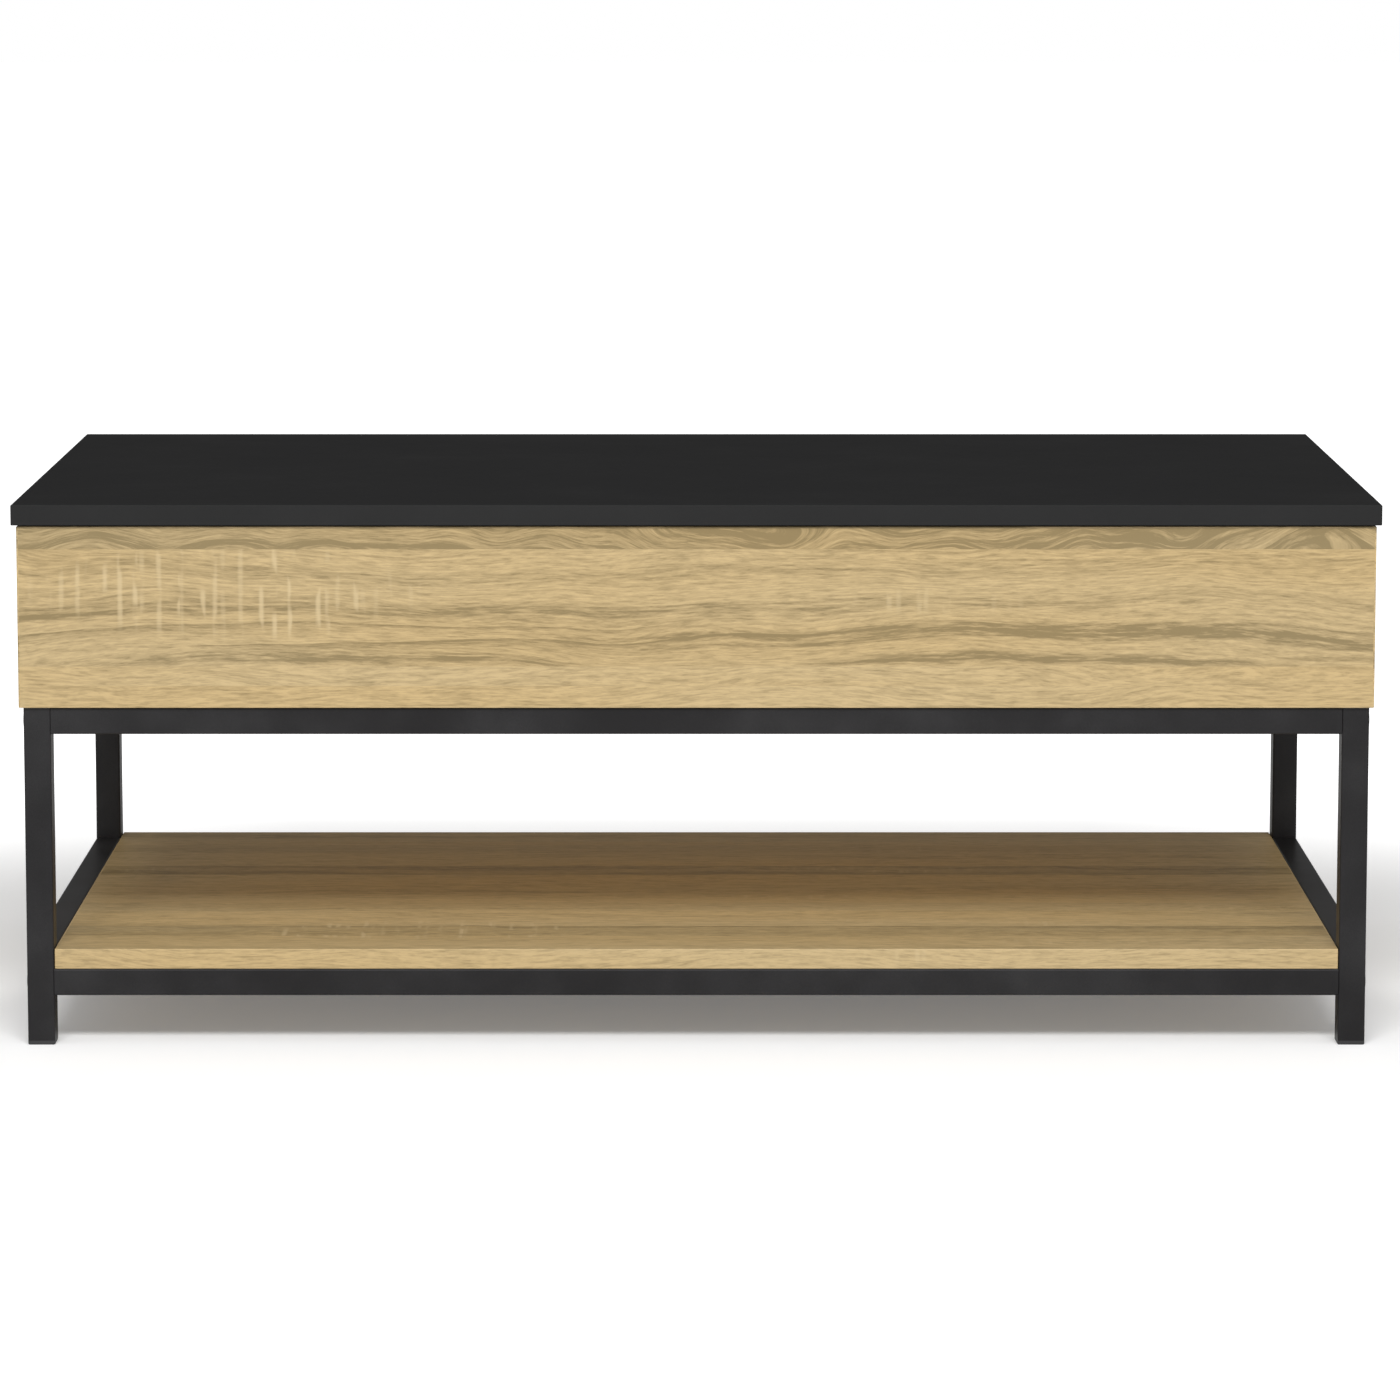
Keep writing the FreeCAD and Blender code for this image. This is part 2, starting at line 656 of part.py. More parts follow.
def rivet_head(lift, name, seat, crown, grows_inward, place):
    """A low domed head between its seat and its crown, two depths of the lift."""
    middle = f"(({seat}) + ({crown})) / 2"
    wide, narrow = "rivet_head_radius", "pivot_radius"
    if grows_inward:
        rim = lift.rod(f"{name}_rim", wide, seat, middle, place)
        dome = lift.cone(f"{name}_dome", wide, narrow, middle, crown, place)
    else:
        rim = lift.rod(f"{name}_rim", wide, middle, seat, place)
        dome = lift.cone(f"{name}_dome", narrow, wide, crown, middle, place)
    return rim, dome


def base_bracket(lift):
    points = (
        ("plate_front", "plate_low"),
        ("plate_rear", "plate_low"),
        ("plate_rear", "rear_base_z + bracket_margin"),
        ("rear_base_y + bracket_margin", "rear_base_z + bracket_margin"),
        ("front_base_y + bracket_nose", "plate_crown"),
        ("plate_front", "plate_crown"),
    )
    body = lift.sheet("bracket_plate", [(lambda s: outline(s, points), "plate_thickness")], "0")
    cross_holes(body, "YZ", "pivot_radius", base_pivots)
    round_edges(body, Vector(1, 0, 0), "plate_round", lambda middle: True)
    pins = [
        lift.rod("stop_hole", "spring_pin_radius", "0", "plate_thickness", ("stop_y", "stop_z")),
        lift.rod("post_hole", "spring_pin_radius", "0", "plate_thickness", ("post_y", "post_z")),
    ]
    sinks = [
        lift.cone(
            f"plate_sink_{number}",
            "screw_radius",
            "screw_head_radius",
            "0",
            "plate_thickness",
            place,
        )
        for number, place in enumerate(plate_screw_places)
    ]
    return drill(f"{lift.side}_base_bracket", body, pins + sinks)


def base_rivets(lift):
    rivets = []
    for number, place in enumerate(base_pivots):
        shank = lift.rod(f"base_shank_{number}", "pivot_radius", "0", "head_face", place)
        crown = "head_face + rivet_head_height"
        head = rivet_head(lift, f"base_head_{number}", "head_face", crown, True, place)
        rivets.append(join(f"{lift.side}_base_rivet_{number}", [shank, *head]))
    return group(f"{lift.side}_base_rivets", rivets)


def top_rivets(lift):
    rivets = []
    for number, place in enumerate(top_pivots):
        shank = lift.rod(
            f"top_shank_{number}",
            "pivot_radius",
            "top_head_face",
            "bracket_in + rivet_tail_height",
            place,
        )
        crown = "top_head_face - rivet_tail_height"
        head = rivet_head(lift, f"top_head_{number}", "top_head_face", crown, False, place)
        tail = lift.rod(
            f"top_tail_{number}",
            "(rivet_head_radius + pivot_radius) / 2",
            "bracket_in",
            "bracket_in + rivet_tail_height",
            place,
        )
        rivets.append(join(f"{lift.side}_top_rivet_{number}", [shank, *head, tail]))
    return group(f"{lift.side}_top_rivets", rivets)


def washers(lift, name, start, places):
    """Spacer washers that sit round the rivets from a depth inward."""
    rings = []
    end = f"{start} + washer_thickness"
    for number, place in enumerate(places):
        disc = lift.rod(f"{name}_disc_{number}", "washer_radius", start, end, place)
        bore = lift.rod(f"{name}_bore_{number}", "pivot_radius", start, end, place)
        rings.append(drill(f"{lift.side}_{name}_{number}", disc, [bore]))
    return group(f"{lift.side}_{name}s", rings)


def arm(lift, name, pivot, with_lever):
    """A flat bar drawn level from its base pivot, then turned to its rest angle."""
    profiles = [(lambda s: bar(s, "arm_width / 2", "arm_length", "0"), "arm_thickness")]
    lever_end = ("lever_length * cos(lever_angle)", "-lever_length * sin(lever_angle)")
    if with_lever:
        profiles.append((lambda s: bar(s, "lever_width / 2", *lever_end), "arm_thickness"))
    body = lift.sheet(name, profiles, "arm_out")
    cross_holes(body, "YZ", "bore_radius", (("0", "0"), ("arm_length", "0")))
    if with_lever:
        pin_hole = sketch_on(body, "YZ", "pin_hole")
        circle(pin_hole, "spring_pin_radius", *lever_end)
        cut_through(body, pin_hole)
    body.Placement = FreeCAD.Placement(Vector(), Rotation(Vector(1, 0, 0), value("rest_angle")))
    body.setExpression("Placement.Rotation.Angle", formula("rest_angle"))
    return bind(body, lift.at("arm_out", *pivot))


def spring_pin(lift, name, start, place):
    """A pin from a sheet to the spring's eye, with a head that keeps the eye on."""
    shank = lift.rod(f"{name}_shank", "spring_pin_radius", start, "spring_pin_end", place)
    end = "spring_pin_end + spring_pin_cap"
    cap = lift.rod(f"{name}_cap", "spring_pin_radius + 2 * coil_wire", "spring_pin_end", end, place)
    return join(f"{lift.side}_{name}", [shank, cap])


def spring(lift):
    """The spring's envelope: a thin sleeve, closed ends and an eye at each end."""
    name = f"{lift.side}_spring"
    outer = rod(
        f"{name}_outer",
        "coil_radius",
        "spring_length - 2 * coil_start",
        "+Y",
        ("0", "coil_start", "0"),
    )
    inner = rod(
        f"{name}_inner",
        "coil_radius - coil_wire",
        "spring_length - 2 * coil_start - 2 * coil_wire",
        "+Y",
        ("0", "coil_start + coil_wire", "0"),
    )
    pieces = [drill(f"{name}_sleeve", outer, [inner])]
    for end, middle, way in (("post", "0", "+Y"), ("pin", "spring_length", "-Y")):
        eye = doc.addObject("Part::Torus", f"{name}_{end}_eye")
        eye.Placement = FreeCAD.Placement(Vector(), TURNS["+X"])
        pieces.append(bind(eye, ("0", middle, "0"), Radius1="eye_radius", Radius2="coil_wire"))
        hook_start = ("0", f"{middle} {way[0]} eye_radius", "0")
        length = "coil_start + coil_wire - eye_radius"
        pieces.append(rod(f"{name}_{end}_hook", "coil_wire * 0.9", length, way, hook_start))
    whole = join(name, pieces)
    turned = Rotation(Vector(1, 0, 0), value("spring_angle"))
    whole.Placement = FreeCAD.Placement(Vector(), turned)
    whole.setExpression("Placement.Rotation.Angle", formula("spring_angle"))
    return bind(whole, lift.at("spring_depth", "post_y", "post_z"))


def top_bracket(lift):
    """An angle that screws under the top, with ears for the two top pivots."""
    upright = (
        ("flange_front", "top_under"),
        ("flange_front", "strip_low"),
        ("front_top_y - 2 * bracket_margin", "strip_low"),
        ("front_top_y - bracket_margin", "front_top_z - bracket_margin"),
        ("rear_top_y - bracket_margin", "rear_top_z - bracket_margin"),
        ("flange_rear", "rear_top_z - bracket_margin"),
        ("flange_rear", "top_under"),
    )
    flange = (
        ("flange_front", "top_under - plate_thickness"),
        ("flange_rear", "top_under - plate_thickness"),
        ("flange_rear", "top_under"),
        ("flange_front", "top_under"),
    )
    profiles = [
        (lambda s: outline(s, upright), "plate_thickness"),
        (lambda s: outline(s, flange), "flange_width"),
    ]
    body = lift.sheet("top_angle", profiles, "bracket_out")
    cross_holes(body, "YZ", "pivot_radius", top_pivots)
    holes = []
    for number, place in enumerate(flange_screw_places(lift)):
        x, y, _ = place
        start = (x, y, "top_under - plate_thickness")
        name = f"{lift.side}_flange_hole_{number}"
        holes.append(rod(name, screw_hole, "plate_thickness", "+Z", start))
    return drill(f"{lift.side}_top_bracket", body, holes)


def flange_screw_places(lift):
    for number in range(round(value("flange_screws"))):
        y = f"flange_front + flange_pitch * {number + 0.5}"
        yield lift.at("flange_screw_depth", y, "top_under - plate_thickness")


bracket_screws = []
stop_pins = []
spring_posts = []
top_screws = []
top_pilots = []

for side in SIDES:
    lift = LiftSide(side)
    keep(base_bracket(lift), base_rivets(lift))
    keep(washers(lift, "base_washer", "plate_thickness", base_pivots))
    keep(arm(lift, "front_arm", base_pivots[0], with_lever=True))
    keep(arm(lift, "rear_arm", base_pivots[1], with_lever=False))
    keep(spring_pin(lift, "lever_pin", "arm_out", ("pin_y", "pin_z")))
    keep(spring(lift))
    keep(top_bracket(lift), top_rivets(lift))
    keep(washers(lift, "top_washer", "head_face", top_pivots))
    spring_posts.append(spring_pin(lift, "spring_post", "0", ("post_y", "post_z")))

    stop_place = ("stop_y", "stop_z")
    tenon = lift.rod("stop_tenon", "spring_pin_radius", "0", "plate_thickness", stop_place)
    sleeve = lift.rod("stop_sleeve", "stop_radius", "plate_thickness", "head_face", stop_place)
    stop_pins.append(join(f"{side}_stop", [tenon, sleeve]))

    for number, place in enumerate(plate_screw_places):
        name = f"plate_screw_{number}"
        head = lift.cone(
            f"{name}_head", "screw_radius", "screw_head_radius", "0", "plate_thickness", place
        )
        shank = lift.rod(f"{name}_shank", "screw_radius", "-screw_bite", "0", place)
        bracket_screws.append(join(f"{side}_{name}", [head, shank]))
        pilot = lift.rod(f"{name}_pilot", "screw_radius", "-screw_bite", "0", place)
        panel_holes[side].append(pilot)

    for number, place in enumerate(flange_screw_places(lift)):
        name = f"{side}_top_screw_{number}"
        length = "plate_thickness + screw_bite"
        shank = rod(f"{name}_shank", "screw_radius", length, "+Z", place)
        head = rod(f"{name}_head", "screw_head_radius", "screw_head_height", "-Z", place)
        top_screws.append(join(name, [shank, head]))
        x, y, _ = place
        pilot_start = (x, y, "top_under")
        top_pilots.append(rod(f"{name}_pilot", "screw_radius", "screw_bite", "+Z", pilot_start))

keep(group("bracket_screws", bracket_screws), group("stop_pins", stop_pins))
keep(group("spring_posts", spring_posts), group("top_bracket_screws", top_screws))

# ---------------------------------------------------------------- boards

panel_span = ("box_floor", "box_rim")
outer_faces = {
    "front": (both("box_length / 2"), ("-box_depth / 2", "-depth_inner")),
    "rear": (both("box_length / 2"), ("depth_inner", "box_depth / 2")),
    "left": (("-box_length / 2", "-side_inner"), both("depth_inner")),
    "right": (("side_inner", "box_length / 2"), both("depth_inner")),
}
for name, (x, y) in outer_faces.items():
    board = box(f"{name}_board", x, y, panel_span)
    keep(drill(f"{name}_panel", board, panel_holes[name]))

bottom_board = box(
    "bottom_board", both("side_inner"), both("depth_inner"), ("box_floor", "hollow_floor")
)
keep(drill("bottom_panel", bottom_board, bottom_holes))

top_board = box(
    "top_board", both("top_length / 2"), both("top_depth / 2"), ("top_under", "top_face")
)
keep(drill("lift_top", top_board, top_pilots))

pads = []
for end, back in ENDS.items():
    for side, right in SIDES.items():
        start = (f"{right} * side_middle", f"{back} * (box_depth / 2 - pad_inset)", "box_rim")
        pads.append(rod(f"{end}_{side}_pad", "pad_radius", "pad_thickness", "+Z", start))
keep(group("bumper_pads", pads))

# ---------------------------------------------------------------- check and write

doc.recompute()
for item in doc.Objects:
    if "Invalid" in item.State or "Error" in item.State:
        raise RuntimeError(f"{item.Label} did not build: {item.State}")

os.makedirs("parts", exist_ok=True)
for item in NODES:
    if item.Shape.isNull() or not item.Shape.isValid() or not item.Shape.Solids:
        raise RuntimeError(f"{item.Label} is not a valid solid")
    item.Shape.exportStep(f"parts/{item.Label}.step")
print(f"{len(NODES)} nodes written")
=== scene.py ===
import bpy
from math import cos, pi, radians, sin
from mathutils import Matrix, Vector


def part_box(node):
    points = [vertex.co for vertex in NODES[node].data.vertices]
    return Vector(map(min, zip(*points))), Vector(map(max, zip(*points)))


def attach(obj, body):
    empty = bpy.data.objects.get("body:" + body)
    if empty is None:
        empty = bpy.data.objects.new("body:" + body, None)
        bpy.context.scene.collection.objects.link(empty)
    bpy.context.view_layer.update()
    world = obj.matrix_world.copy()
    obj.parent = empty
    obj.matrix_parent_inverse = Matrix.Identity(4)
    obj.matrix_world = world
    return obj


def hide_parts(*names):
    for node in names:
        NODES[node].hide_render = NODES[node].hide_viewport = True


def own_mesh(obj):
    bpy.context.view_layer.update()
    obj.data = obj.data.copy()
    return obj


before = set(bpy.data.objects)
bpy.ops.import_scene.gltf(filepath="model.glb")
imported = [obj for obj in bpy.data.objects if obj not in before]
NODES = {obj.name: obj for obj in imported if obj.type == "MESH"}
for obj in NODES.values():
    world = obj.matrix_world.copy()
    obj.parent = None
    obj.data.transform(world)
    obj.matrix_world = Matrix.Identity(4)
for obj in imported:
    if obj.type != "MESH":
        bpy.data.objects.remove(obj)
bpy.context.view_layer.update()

bl_info = {
    "name": "Lift Top Coffee Table",
    "version": (1, 0, 0),
    "blender": (4, 5, 0),
    "location": "View3D > Sidebar > Coffee Table",
    "description": "Finishes a lift top coffee table: boards, tube frame, lift hardware and stage",
    "category": "Object",
}

MM = 0.001

SIDES = {"left": -1, "right": 1}
ENDS = {"front": -1, "rear": 1}
X_AXIS, Z_AXIS = Vector((1, 0, 0)), Vector((0, 0, 1))

BOLT_HEAD, BOLT_SHANK = 3.3 * MM, 3 * MM
SHELF_SCREW_HEAD, PAN_HEAD, FLAT_HEAD, SCREW_SHANK = 2.2 * MM, 2 * MM, 2 * MM, 2 * MM
SPRING_EYE = 3.3 * MM
RAIL_HOLLOW = 6 * MM


# ---------------------------------------------------------------- settings


class BoardSettings(bpy.types.PropertyGroup):
    edge_round: bpy.props.FloatProperty(
        name="Edge round", description="Radius on the boards' edges",
        default=0.7 * MM, min=0, unit="LENGTH",
    )
    band_thickness: bpy.props.FloatProperty(
        name="Edge band", description="Thickness of the glued edge band, as seen on a face",
        default=0.6 * MM, min=0, unit="LENGTH",
    )
    oak_light: bpy.props.FloatVectorProperty(
        name="Light oak", description="Early wood of the oak decor",
        default=(0.490, 0.366, 0.188), subtype="COLOR", min=0, max=1,
    )
    oak_dark: bpy.props.FloatVectorProperty(
        name="Dark oak", description="Grey-brown streaks of the oak decor",
        default=(0.225, 0.167, 0.076), subtype="COLOR", min=0, max=1,
    )
    laminate: bpy.props.FloatVectorProperty(
        name="Laminate", description="Black laminate of the lifting top",
        default=(0.0046, 0.0046, 0.0047), subtype="COLOR", min=0, max=1,
    )
    # the edge band is the same black laminate painted lighter: a painted highlight for the light
    # falling on the top's front edge
    lit_laminate_edge: bpy.props.FloatVectorProperty(
        name="Lit laminate edge", description="Lit black edge band of the lifting top",
        default=(0.0175, 0.0175, 0.0176), subtype="COLOR", min=0, max=1,
    )


class FrameSettings(bpy.types.PropertyGroup):
    tube_round: bpy.props.FloatProperty(
        name="Tube round", description="Corner radius of the square tube",
        default=1.5 * MM, min=0, unit="LENGTH",
    )
    tube_wall: bpy.props.FloatProperty(
        name="Tube wall", description="Wall of the square tube",
        default=1.2 * MM, min=0, unit="LENGTH",
    )
    coat: bpy.props.FloatVectorProperty(
        name="Powder coat", description="Black powder coat of the frame",
        default=(0.0075, 0.0068, 0.0074), subtype="COLOR", min=0, max=1,
    )


class LiftSettings(bpy.types.PropertyGroup):
    wire: bpy.props.FloatProperty(
        name="Spring wire", description="Radius of the spring wire",
        default=1.0 * MM, min=0.2 * MM, unit="LENGTH",
    )
    turns: bpy.props.IntProperty(
        name="Spring turns", description="Turns of each lift spring", default=60, min=5,
    )
    keep: bpy.props.FloatProperty(
        name="Open length", description="Spring length when open, as a share of its closed length",
        default=0.7673, min=0.1, max=1, subtype="FACTOR",
    )


class StageSettings(bpy.types.PropertyGroup):
    distance: bpy.props.FloatProperty(
        name="Camera distance", description="Camera ahead of the table top's front edge",
        default=3.915, unit="LENGTH",
    )
    height: bpy.props.FloatProperty(
        name="Camera height", description="Camera above the floor", default=0.863, unit="LENGTH",
    )
    tilt: bpy.props.FloatProperty(
        name="Camera tilt", description="Camera below level",
        default=radians(6.851), subtype="ANGLE",
    )
    lens: bpy.props.FloatProperty(
        name="Lens", description="Focal length in millimetres", default=139.15,
    )
    shift: bpy.props.FloatVectorProperty(
        name="Lens shift", description="Lens shift across and up, as a share of the picture",
        default=(0.0026, -0.13), size=2,
    )
    key: bpy.props.FloatProperty(
        name="Key light", description="Softbox above and ahead of the table, in watts", default=150,
    )
    room_front: bpy.props.FloatProperty(
        name="Room ahead", description="Light from the room ahead of the table", default=0.56,
    )
    room_back: bpy.props.FloatProperty(
        name="Room behind", description="Light from the room behind the table", default=0.20,
    )


# ---------------------------------------------------------------- shader recipes


class Recipe:
    """Adds nodes to one shader tree and joins them up."""

    def __init__(self, tree):
        self.tree = tree

    def add(self, kind, *inputs, out=0, **settings):
        """A node with its settings and its inputs in order; None leaves an input alone."""
        node = self.tree.nodes.new(kind)
        for name, setting in settings.items():
            setattr(node, name, setting)
        for socket, given in zip(node.inputs, inputs):
            self.feed(socket, given)
        return node.outputs[out]

    def feed(self, socket, given):
        if given is None:
            return
        if isinstance(given, bpy.types.NodeSocket):
            self.tree.links.new(given, socket)
        else:
            socket.default_value = given

    def math(self, operation, *inputs, clamp=False):
        return self.add("ShaderNodeMath", *inputs, operation=operation, use_clamp=clamp)

    def times(self, first, second):
        return self.math("MULTIPLY", first, second)

    def weigh(self, amount, weight, base, clamp=False):
        """The base plus the amount times its weight."""
        return self.math("MULTIPLY_ADD", amount, weight, base, clamp=clamp)

    def centred(self, noise):
        """A noise moved so that it swings round zero."""
        return self.math("SUBTRACT", noise, 0.5)

    def scaled(self, position, scale):
        """The position stretched by three factors."""
        return self.add("ShaderNodeVectorMath", position, scale, operation="MULTIPLY")

    def noise(self, position, scale=1.0, detail=2.0, rough=0.5, warp=0.0):
        node = self.tree.nodes.new("ShaderNodeTexNoise")
        for name, given in (
            ("Vector", position), ("Scale", scale), ("Detail", detail),
            ("Roughness", rough), ("Distortion", warp),
        ):
            self.feed(node.inputs[name], given)
        return node.outputs["Fac"]

    def band(self, amount, low, high, bottom=0.0, top=1.0):
        """Smoothly from bottom to top as the amount goes from low to high."""
        return self.add(
            "ShaderNodeMapRange", amount, low, high, bottom, top,
            interpolation_type="SMOOTHSTEP",
        )

    def mix(self, share, first, second, blend="MIX"):
        node = self.tree.nodes.new("ShaderNodeMix")
        node.data_type = "RGBA"
        node.blend_type = blend
        self.feed(node.inputs["Factor"], share)
        self.feed(node.inputs[6], first)
        self.feed(node.inputs[7], second)
        return node.outputs[2]

    def group(self, tree, **inputs):
        """A node group in place, with its named inputs fed; gives its outputs by name."""
        node = self.tree.nodes.new("ShaderNodeGroup")
        node.node_tree = tree
        for name, given in inputs.items():
            self.feed(node.inputs[name.replace("_", " ")], given)
        return node.outputs


def new_group(name, inputs, outputs):
    """An empty shader node group with its sockets, its recipe and its two ends."""
    tree = bpy.data.node_groups.new(name, "ShaderNodeTree")
    for label, kind, default in inputs:
        socket = tree.interface.new_socket(name=label, in_out="INPUT", socket_type=kind)
        if default is not None:
            socket.default_value = default
    for label, kind in outputs:
        tree.interface.new_socket(name=label, in_out="OUTPUT", socket_type=kind)
    start = tree.nodes.new("NodeGroupInput")
    end = tree.nodes.new("NodeGroupOutput")
    return tree, Recipe(tree), start.outputs, end.inputs


FLOAT, VECTOR, COLOUR = "NodeSocketFloat", "NodeSocketVector", "NodeSocketColor"

# The oak decor repeats in strips. Each row is a strip's width in metres, how dark it is,
# how far its growth lines arch, and where along the log it was cut.
OAK_STRIPS = (
    (0.016, 0.06, 0.10, 0.90),
    (0.014, 0.14, 0.10, 0.35),
    (0.087, 0.20, 0.12, 0.10),
    (0.036, 0.62, 1.00, 0.70),
    (0.061, 0.18, 0.20, 0.55),
    (0.032, 0.34, 0.60, 0.25),
)
OAK_REPEAT = sum(width for width, *_ in OAK_STRIPS)
OAK_MARKS_PER_METRE = 98.0
NO_MARKS = (0.0, 9.0, 0.0)

# How strongly the decor is figured, at places across its repeat in metres.
OAK_FIGURE = (
    (0.000, 0.12),
    (0.030, 0.14),
    (0.036, 0.95),
    (0.058, 0.85),
    (0.080, 0.30),
    (0.114, 0.18),
    (0.118, 0.85),
    (0.152, 0.85),
    (0.158, 0.25),
    (0.205, 0.60),
    (0.245, 0.12),
)


def colour_steps(recipe, place, steps, interpolation):
    """A colour ramp through steps, each a position from 0 to 1 and a colour."""
    node = recipe.tree.nodes.new("ShaderNodeValToRGB")
    ramp = node.color_ramp
    ramp.interpolation = interpolation
    for number, (position, colour) in enumerate(steps):
        stop = ramp.elements[0] if number == 0 else ramp.elements.new(position)
        stop.position = position
        stop.color = (*colour, 1)
    ramp.elements.remove(ramp.elements[-1])
    recipe.feed(node.inputs[0], place)
    return node.outputs["Color"]


def strip_steps():
    start = 0.0
    for width, *colour in OAK_STRIPS:
        yield start / OAK_REPEAT, colour
        start += width


def sonoma_oak_group():
    """Sawn oak decor: strips, wandering growth lines, short grain and pale saw marks."""
    tree, recipe, given, result = new_group(
        "Sonoma oak",
        (
            ("Along", FLOAT, 0.0), ("Across", FLOAT, 0.0), ("Cut", FLOAT, 0.0),
            ("Tone", FLOAT, 0.0), ("Figure", FLOAT, 1.0), ("Marks", VECTOR, (0.0, 0.0, 0.0)),
            ("Light", COLOUR, None), ("Dark", COLOUR, None),
        ),
        (("Color", COLOUR), ("Roughness", FLOAT), ("Height", FLOAT)),
    )
    along, across = given["Along"], given["Across"]
    place = recipe.math("FRACT", recipe.math("DIVIDE", across, OAK_REPEAT))
    strip = recipe.tree.nodes.new("ShaderNodeSeparateColor")
    recipe.feed(strip.inputs[0], colour_steps(recipe, place, list(strip_steps()), "CONSTANT"))
    dark, arch, strip_cut = strip.outputs
    figure = colour_steps(
        recipe, place,
        [(spot / OAK_REPEAT, (amount,) * 3) for spot, amount in OAK_FIGURE], "EASE",
    )
    figure = recipe.times(figure, given["Figure"])
    cut = recipe.weigh(strip_cut, 9.0, given["Cut"])
    spot = recipe.add("ShaderNodeCombineXYZ", along, across, cut)

    # every line of grain follows one slow flow, arched where the strip was flat sawn
    sway = recipe.noise(recipe.scaled(spot, (2.3, 7.0, 1.0)), detail=2.0)
    arches = recipe.noise(recipe.scaled(spot, (12.0, 20.0, 1.0)), detail=1.0)
    arches = recipe.times(recipe.centred(arches), arch)
    arches = recipe.times(arches, given["Figure"])
    flow = recipe.weigh(recipe.centred(sway), 0.075, across)
    flow = recipe.weigh(arches, 0.062, flow)
    guide = recipe.add("ShaderNodeCombineXYZ", along, flow, cut)

    # broad grey-brown bands, and growth lines that darken slowly and end sharply
    bands = recipe.noise(recipe.scaled(guide, (0.9, 62.0, 1.0)), detail=3.0, rough=0.55)
    bands = recipe.band(bands, 0.45, 0.66)
    loose = recipe.noise(recipe.scaled(guide, (1.6, 24.0, 1.0)), detail=1.0)
    saw = recipe.math("FRACT", recipe.weigh(loose, 4.0, recipe.times(flow, 62.0)))
    ending = recipe.band(saw, 0.95, 1.0, 1.0, 0.0)
    line = recipe.times(recipe.math("POWER", saw, 4.5), ending)
    patch = recipe.noise(recipe.scaled(guide, (3.0, 30.0, 1.3)), detail=2.0)
    line = recipe.times(line, recipe.band(patch, 0.42, 0.60))
    lines = recipe.times(line, figure)

    # short streaks and pores along the flow
    streaks = recipe.noise(recipe.scaled(guide, (26.0, 330.0, 1.0)), detail=3.0, rough=0.6)
    dashes = recipe.noise(recipe.scaled(guide, (68.0, 600.0, 1.0)), detail=1.0, rough=0.5)
    dark_dashes = recipe.band(dashes, 0.55, 0.64)
    light_dashes = recipe.band(dashes, 0.36, 0.45, 1.0, 0.0)
    fine = recipe.noise(recipe.scaled(guide, (170.0, 1900.0, 1.0)), detail=2.0, rough=0.6)
    pores = recipe.band(fine, 0.60, 0.76)

    # the shade input darkens the whole decor evenly: painted shade, set per board for how brightly
    # that board is lit, not a colour of the oak itself
    shade = recipe.math("ADD", given["Tone"], recipe.times(dark, 0.75))
    broken_bands = recipe.times(bands, recipe.band(streaks, 0.25, 0.65, 0.35, 1.5))
    shade = recipe.weigh(recipe.times(broken_bands, figure), 0.75, shade)
    shade = recipe.weigh(lines, 0.95, shade)
    shade = recipe.weigh(recipe.centred(streaks), 1.05, shade)
    shade = recipe.weigh(dark_dashes, 0.24, shade)
    shade = recipe.weigh(light_dashes, -0.20, shade)
    shade = recipe.weigh(recipe.centred(fine), 0.80, shade)
    shade = recipe.weigh(pores, 0.16, shade, clamp=True)
    colour = recipe.mix(shade, given["Light"], given["Dark"])

    # warm and cool drift, slower than the figure
    drift = recipe.noise(recipe.scaled(spot, (1.9, 13.0, 2.0)), detail=1.0)
    warm = recipe.times(recipe.band(drift, 0.35, 0.70), 0.45)
    colour = recipe.mix(warm, colour, (1.0, 0.93, 0.78, 1), "MULTIPLY")

    # pale saw marks, square to the grain, round one place and in a few loose clusters
    marks = recipe.tree.nodes.new("ShaderNodeTexVoronoi")
    marks.voronoi_dimensions = "1D"
    recipe.feed(marks.inputs["W"], along)
    recipe.feed(marks.inputs["Scale"], OAK_MARKS_PER_METRE)
    near = recipe.band(marks.outputs["Distance"], 0.05, 0.28, 1.0, 0.0)
    offset = recipe.add(
        "ShaderNodeVectorMath", recipe.add("ShaderNodeCombineXYZ", along, across),
        given["Marks"], operation="SUBTRACT",
    )
    reach = recipe.add(
        "ShaderNodeVectorMath", recipe.scaled(offset, (8.5, 30.0, 0.0)), operation="LENGTH", out=1
    )
    stray = recipe.noise(recipe.scaled(spot, (3.2, 15.0, 3.0)), detail=1.0)
    ragged = recipe.weigh(recipe.centred(stray), 1.6, reach)
    cluster = recipe.math(
        "MAXIMUM", recipe.band(ragged, 0.75, 1.25, 1.0, 0.0),
        recipe.band(stray, 0.66, 0.74, 0.0, 0.6),
    )
    ends = recipe.add(
        "ShaderNodeCombineXYZ", recipe.times(along, OAK_MARKS_PER_METRE),
        recipe.times(across, 34.0), cut,
    )
    broken = recipe.band(recipe.noise(ends, detail=1.0), 0.44, 0.60)
    mark = recipe.times(recipe.times(near, cluster), broken)
    faint = recipe.add("ShaderNodeSeparateColor", marks.outputs["Color"])
    mark = recipe.times(mark, recipe.band(faint, 0.0, 0.9, 0.25, 0.70))
    pale = recipe.mix(0.14, given["Light"], (0.80, 0.72, 0.54, 1))
    colour = recipe.mix(mark, colour, pale)

    recipe.feed(result["Color"], colour)
    recipe.feed(result["Roughness"], recipe.weigh(fine, 0.16, 0.40))
    height = recipe.weigh(pores, -0.7, recipe.times(mark, -0.3))
    recipe.feed(result["Height"], recipe.weigh(streaks, 0.4, height))
    return tree


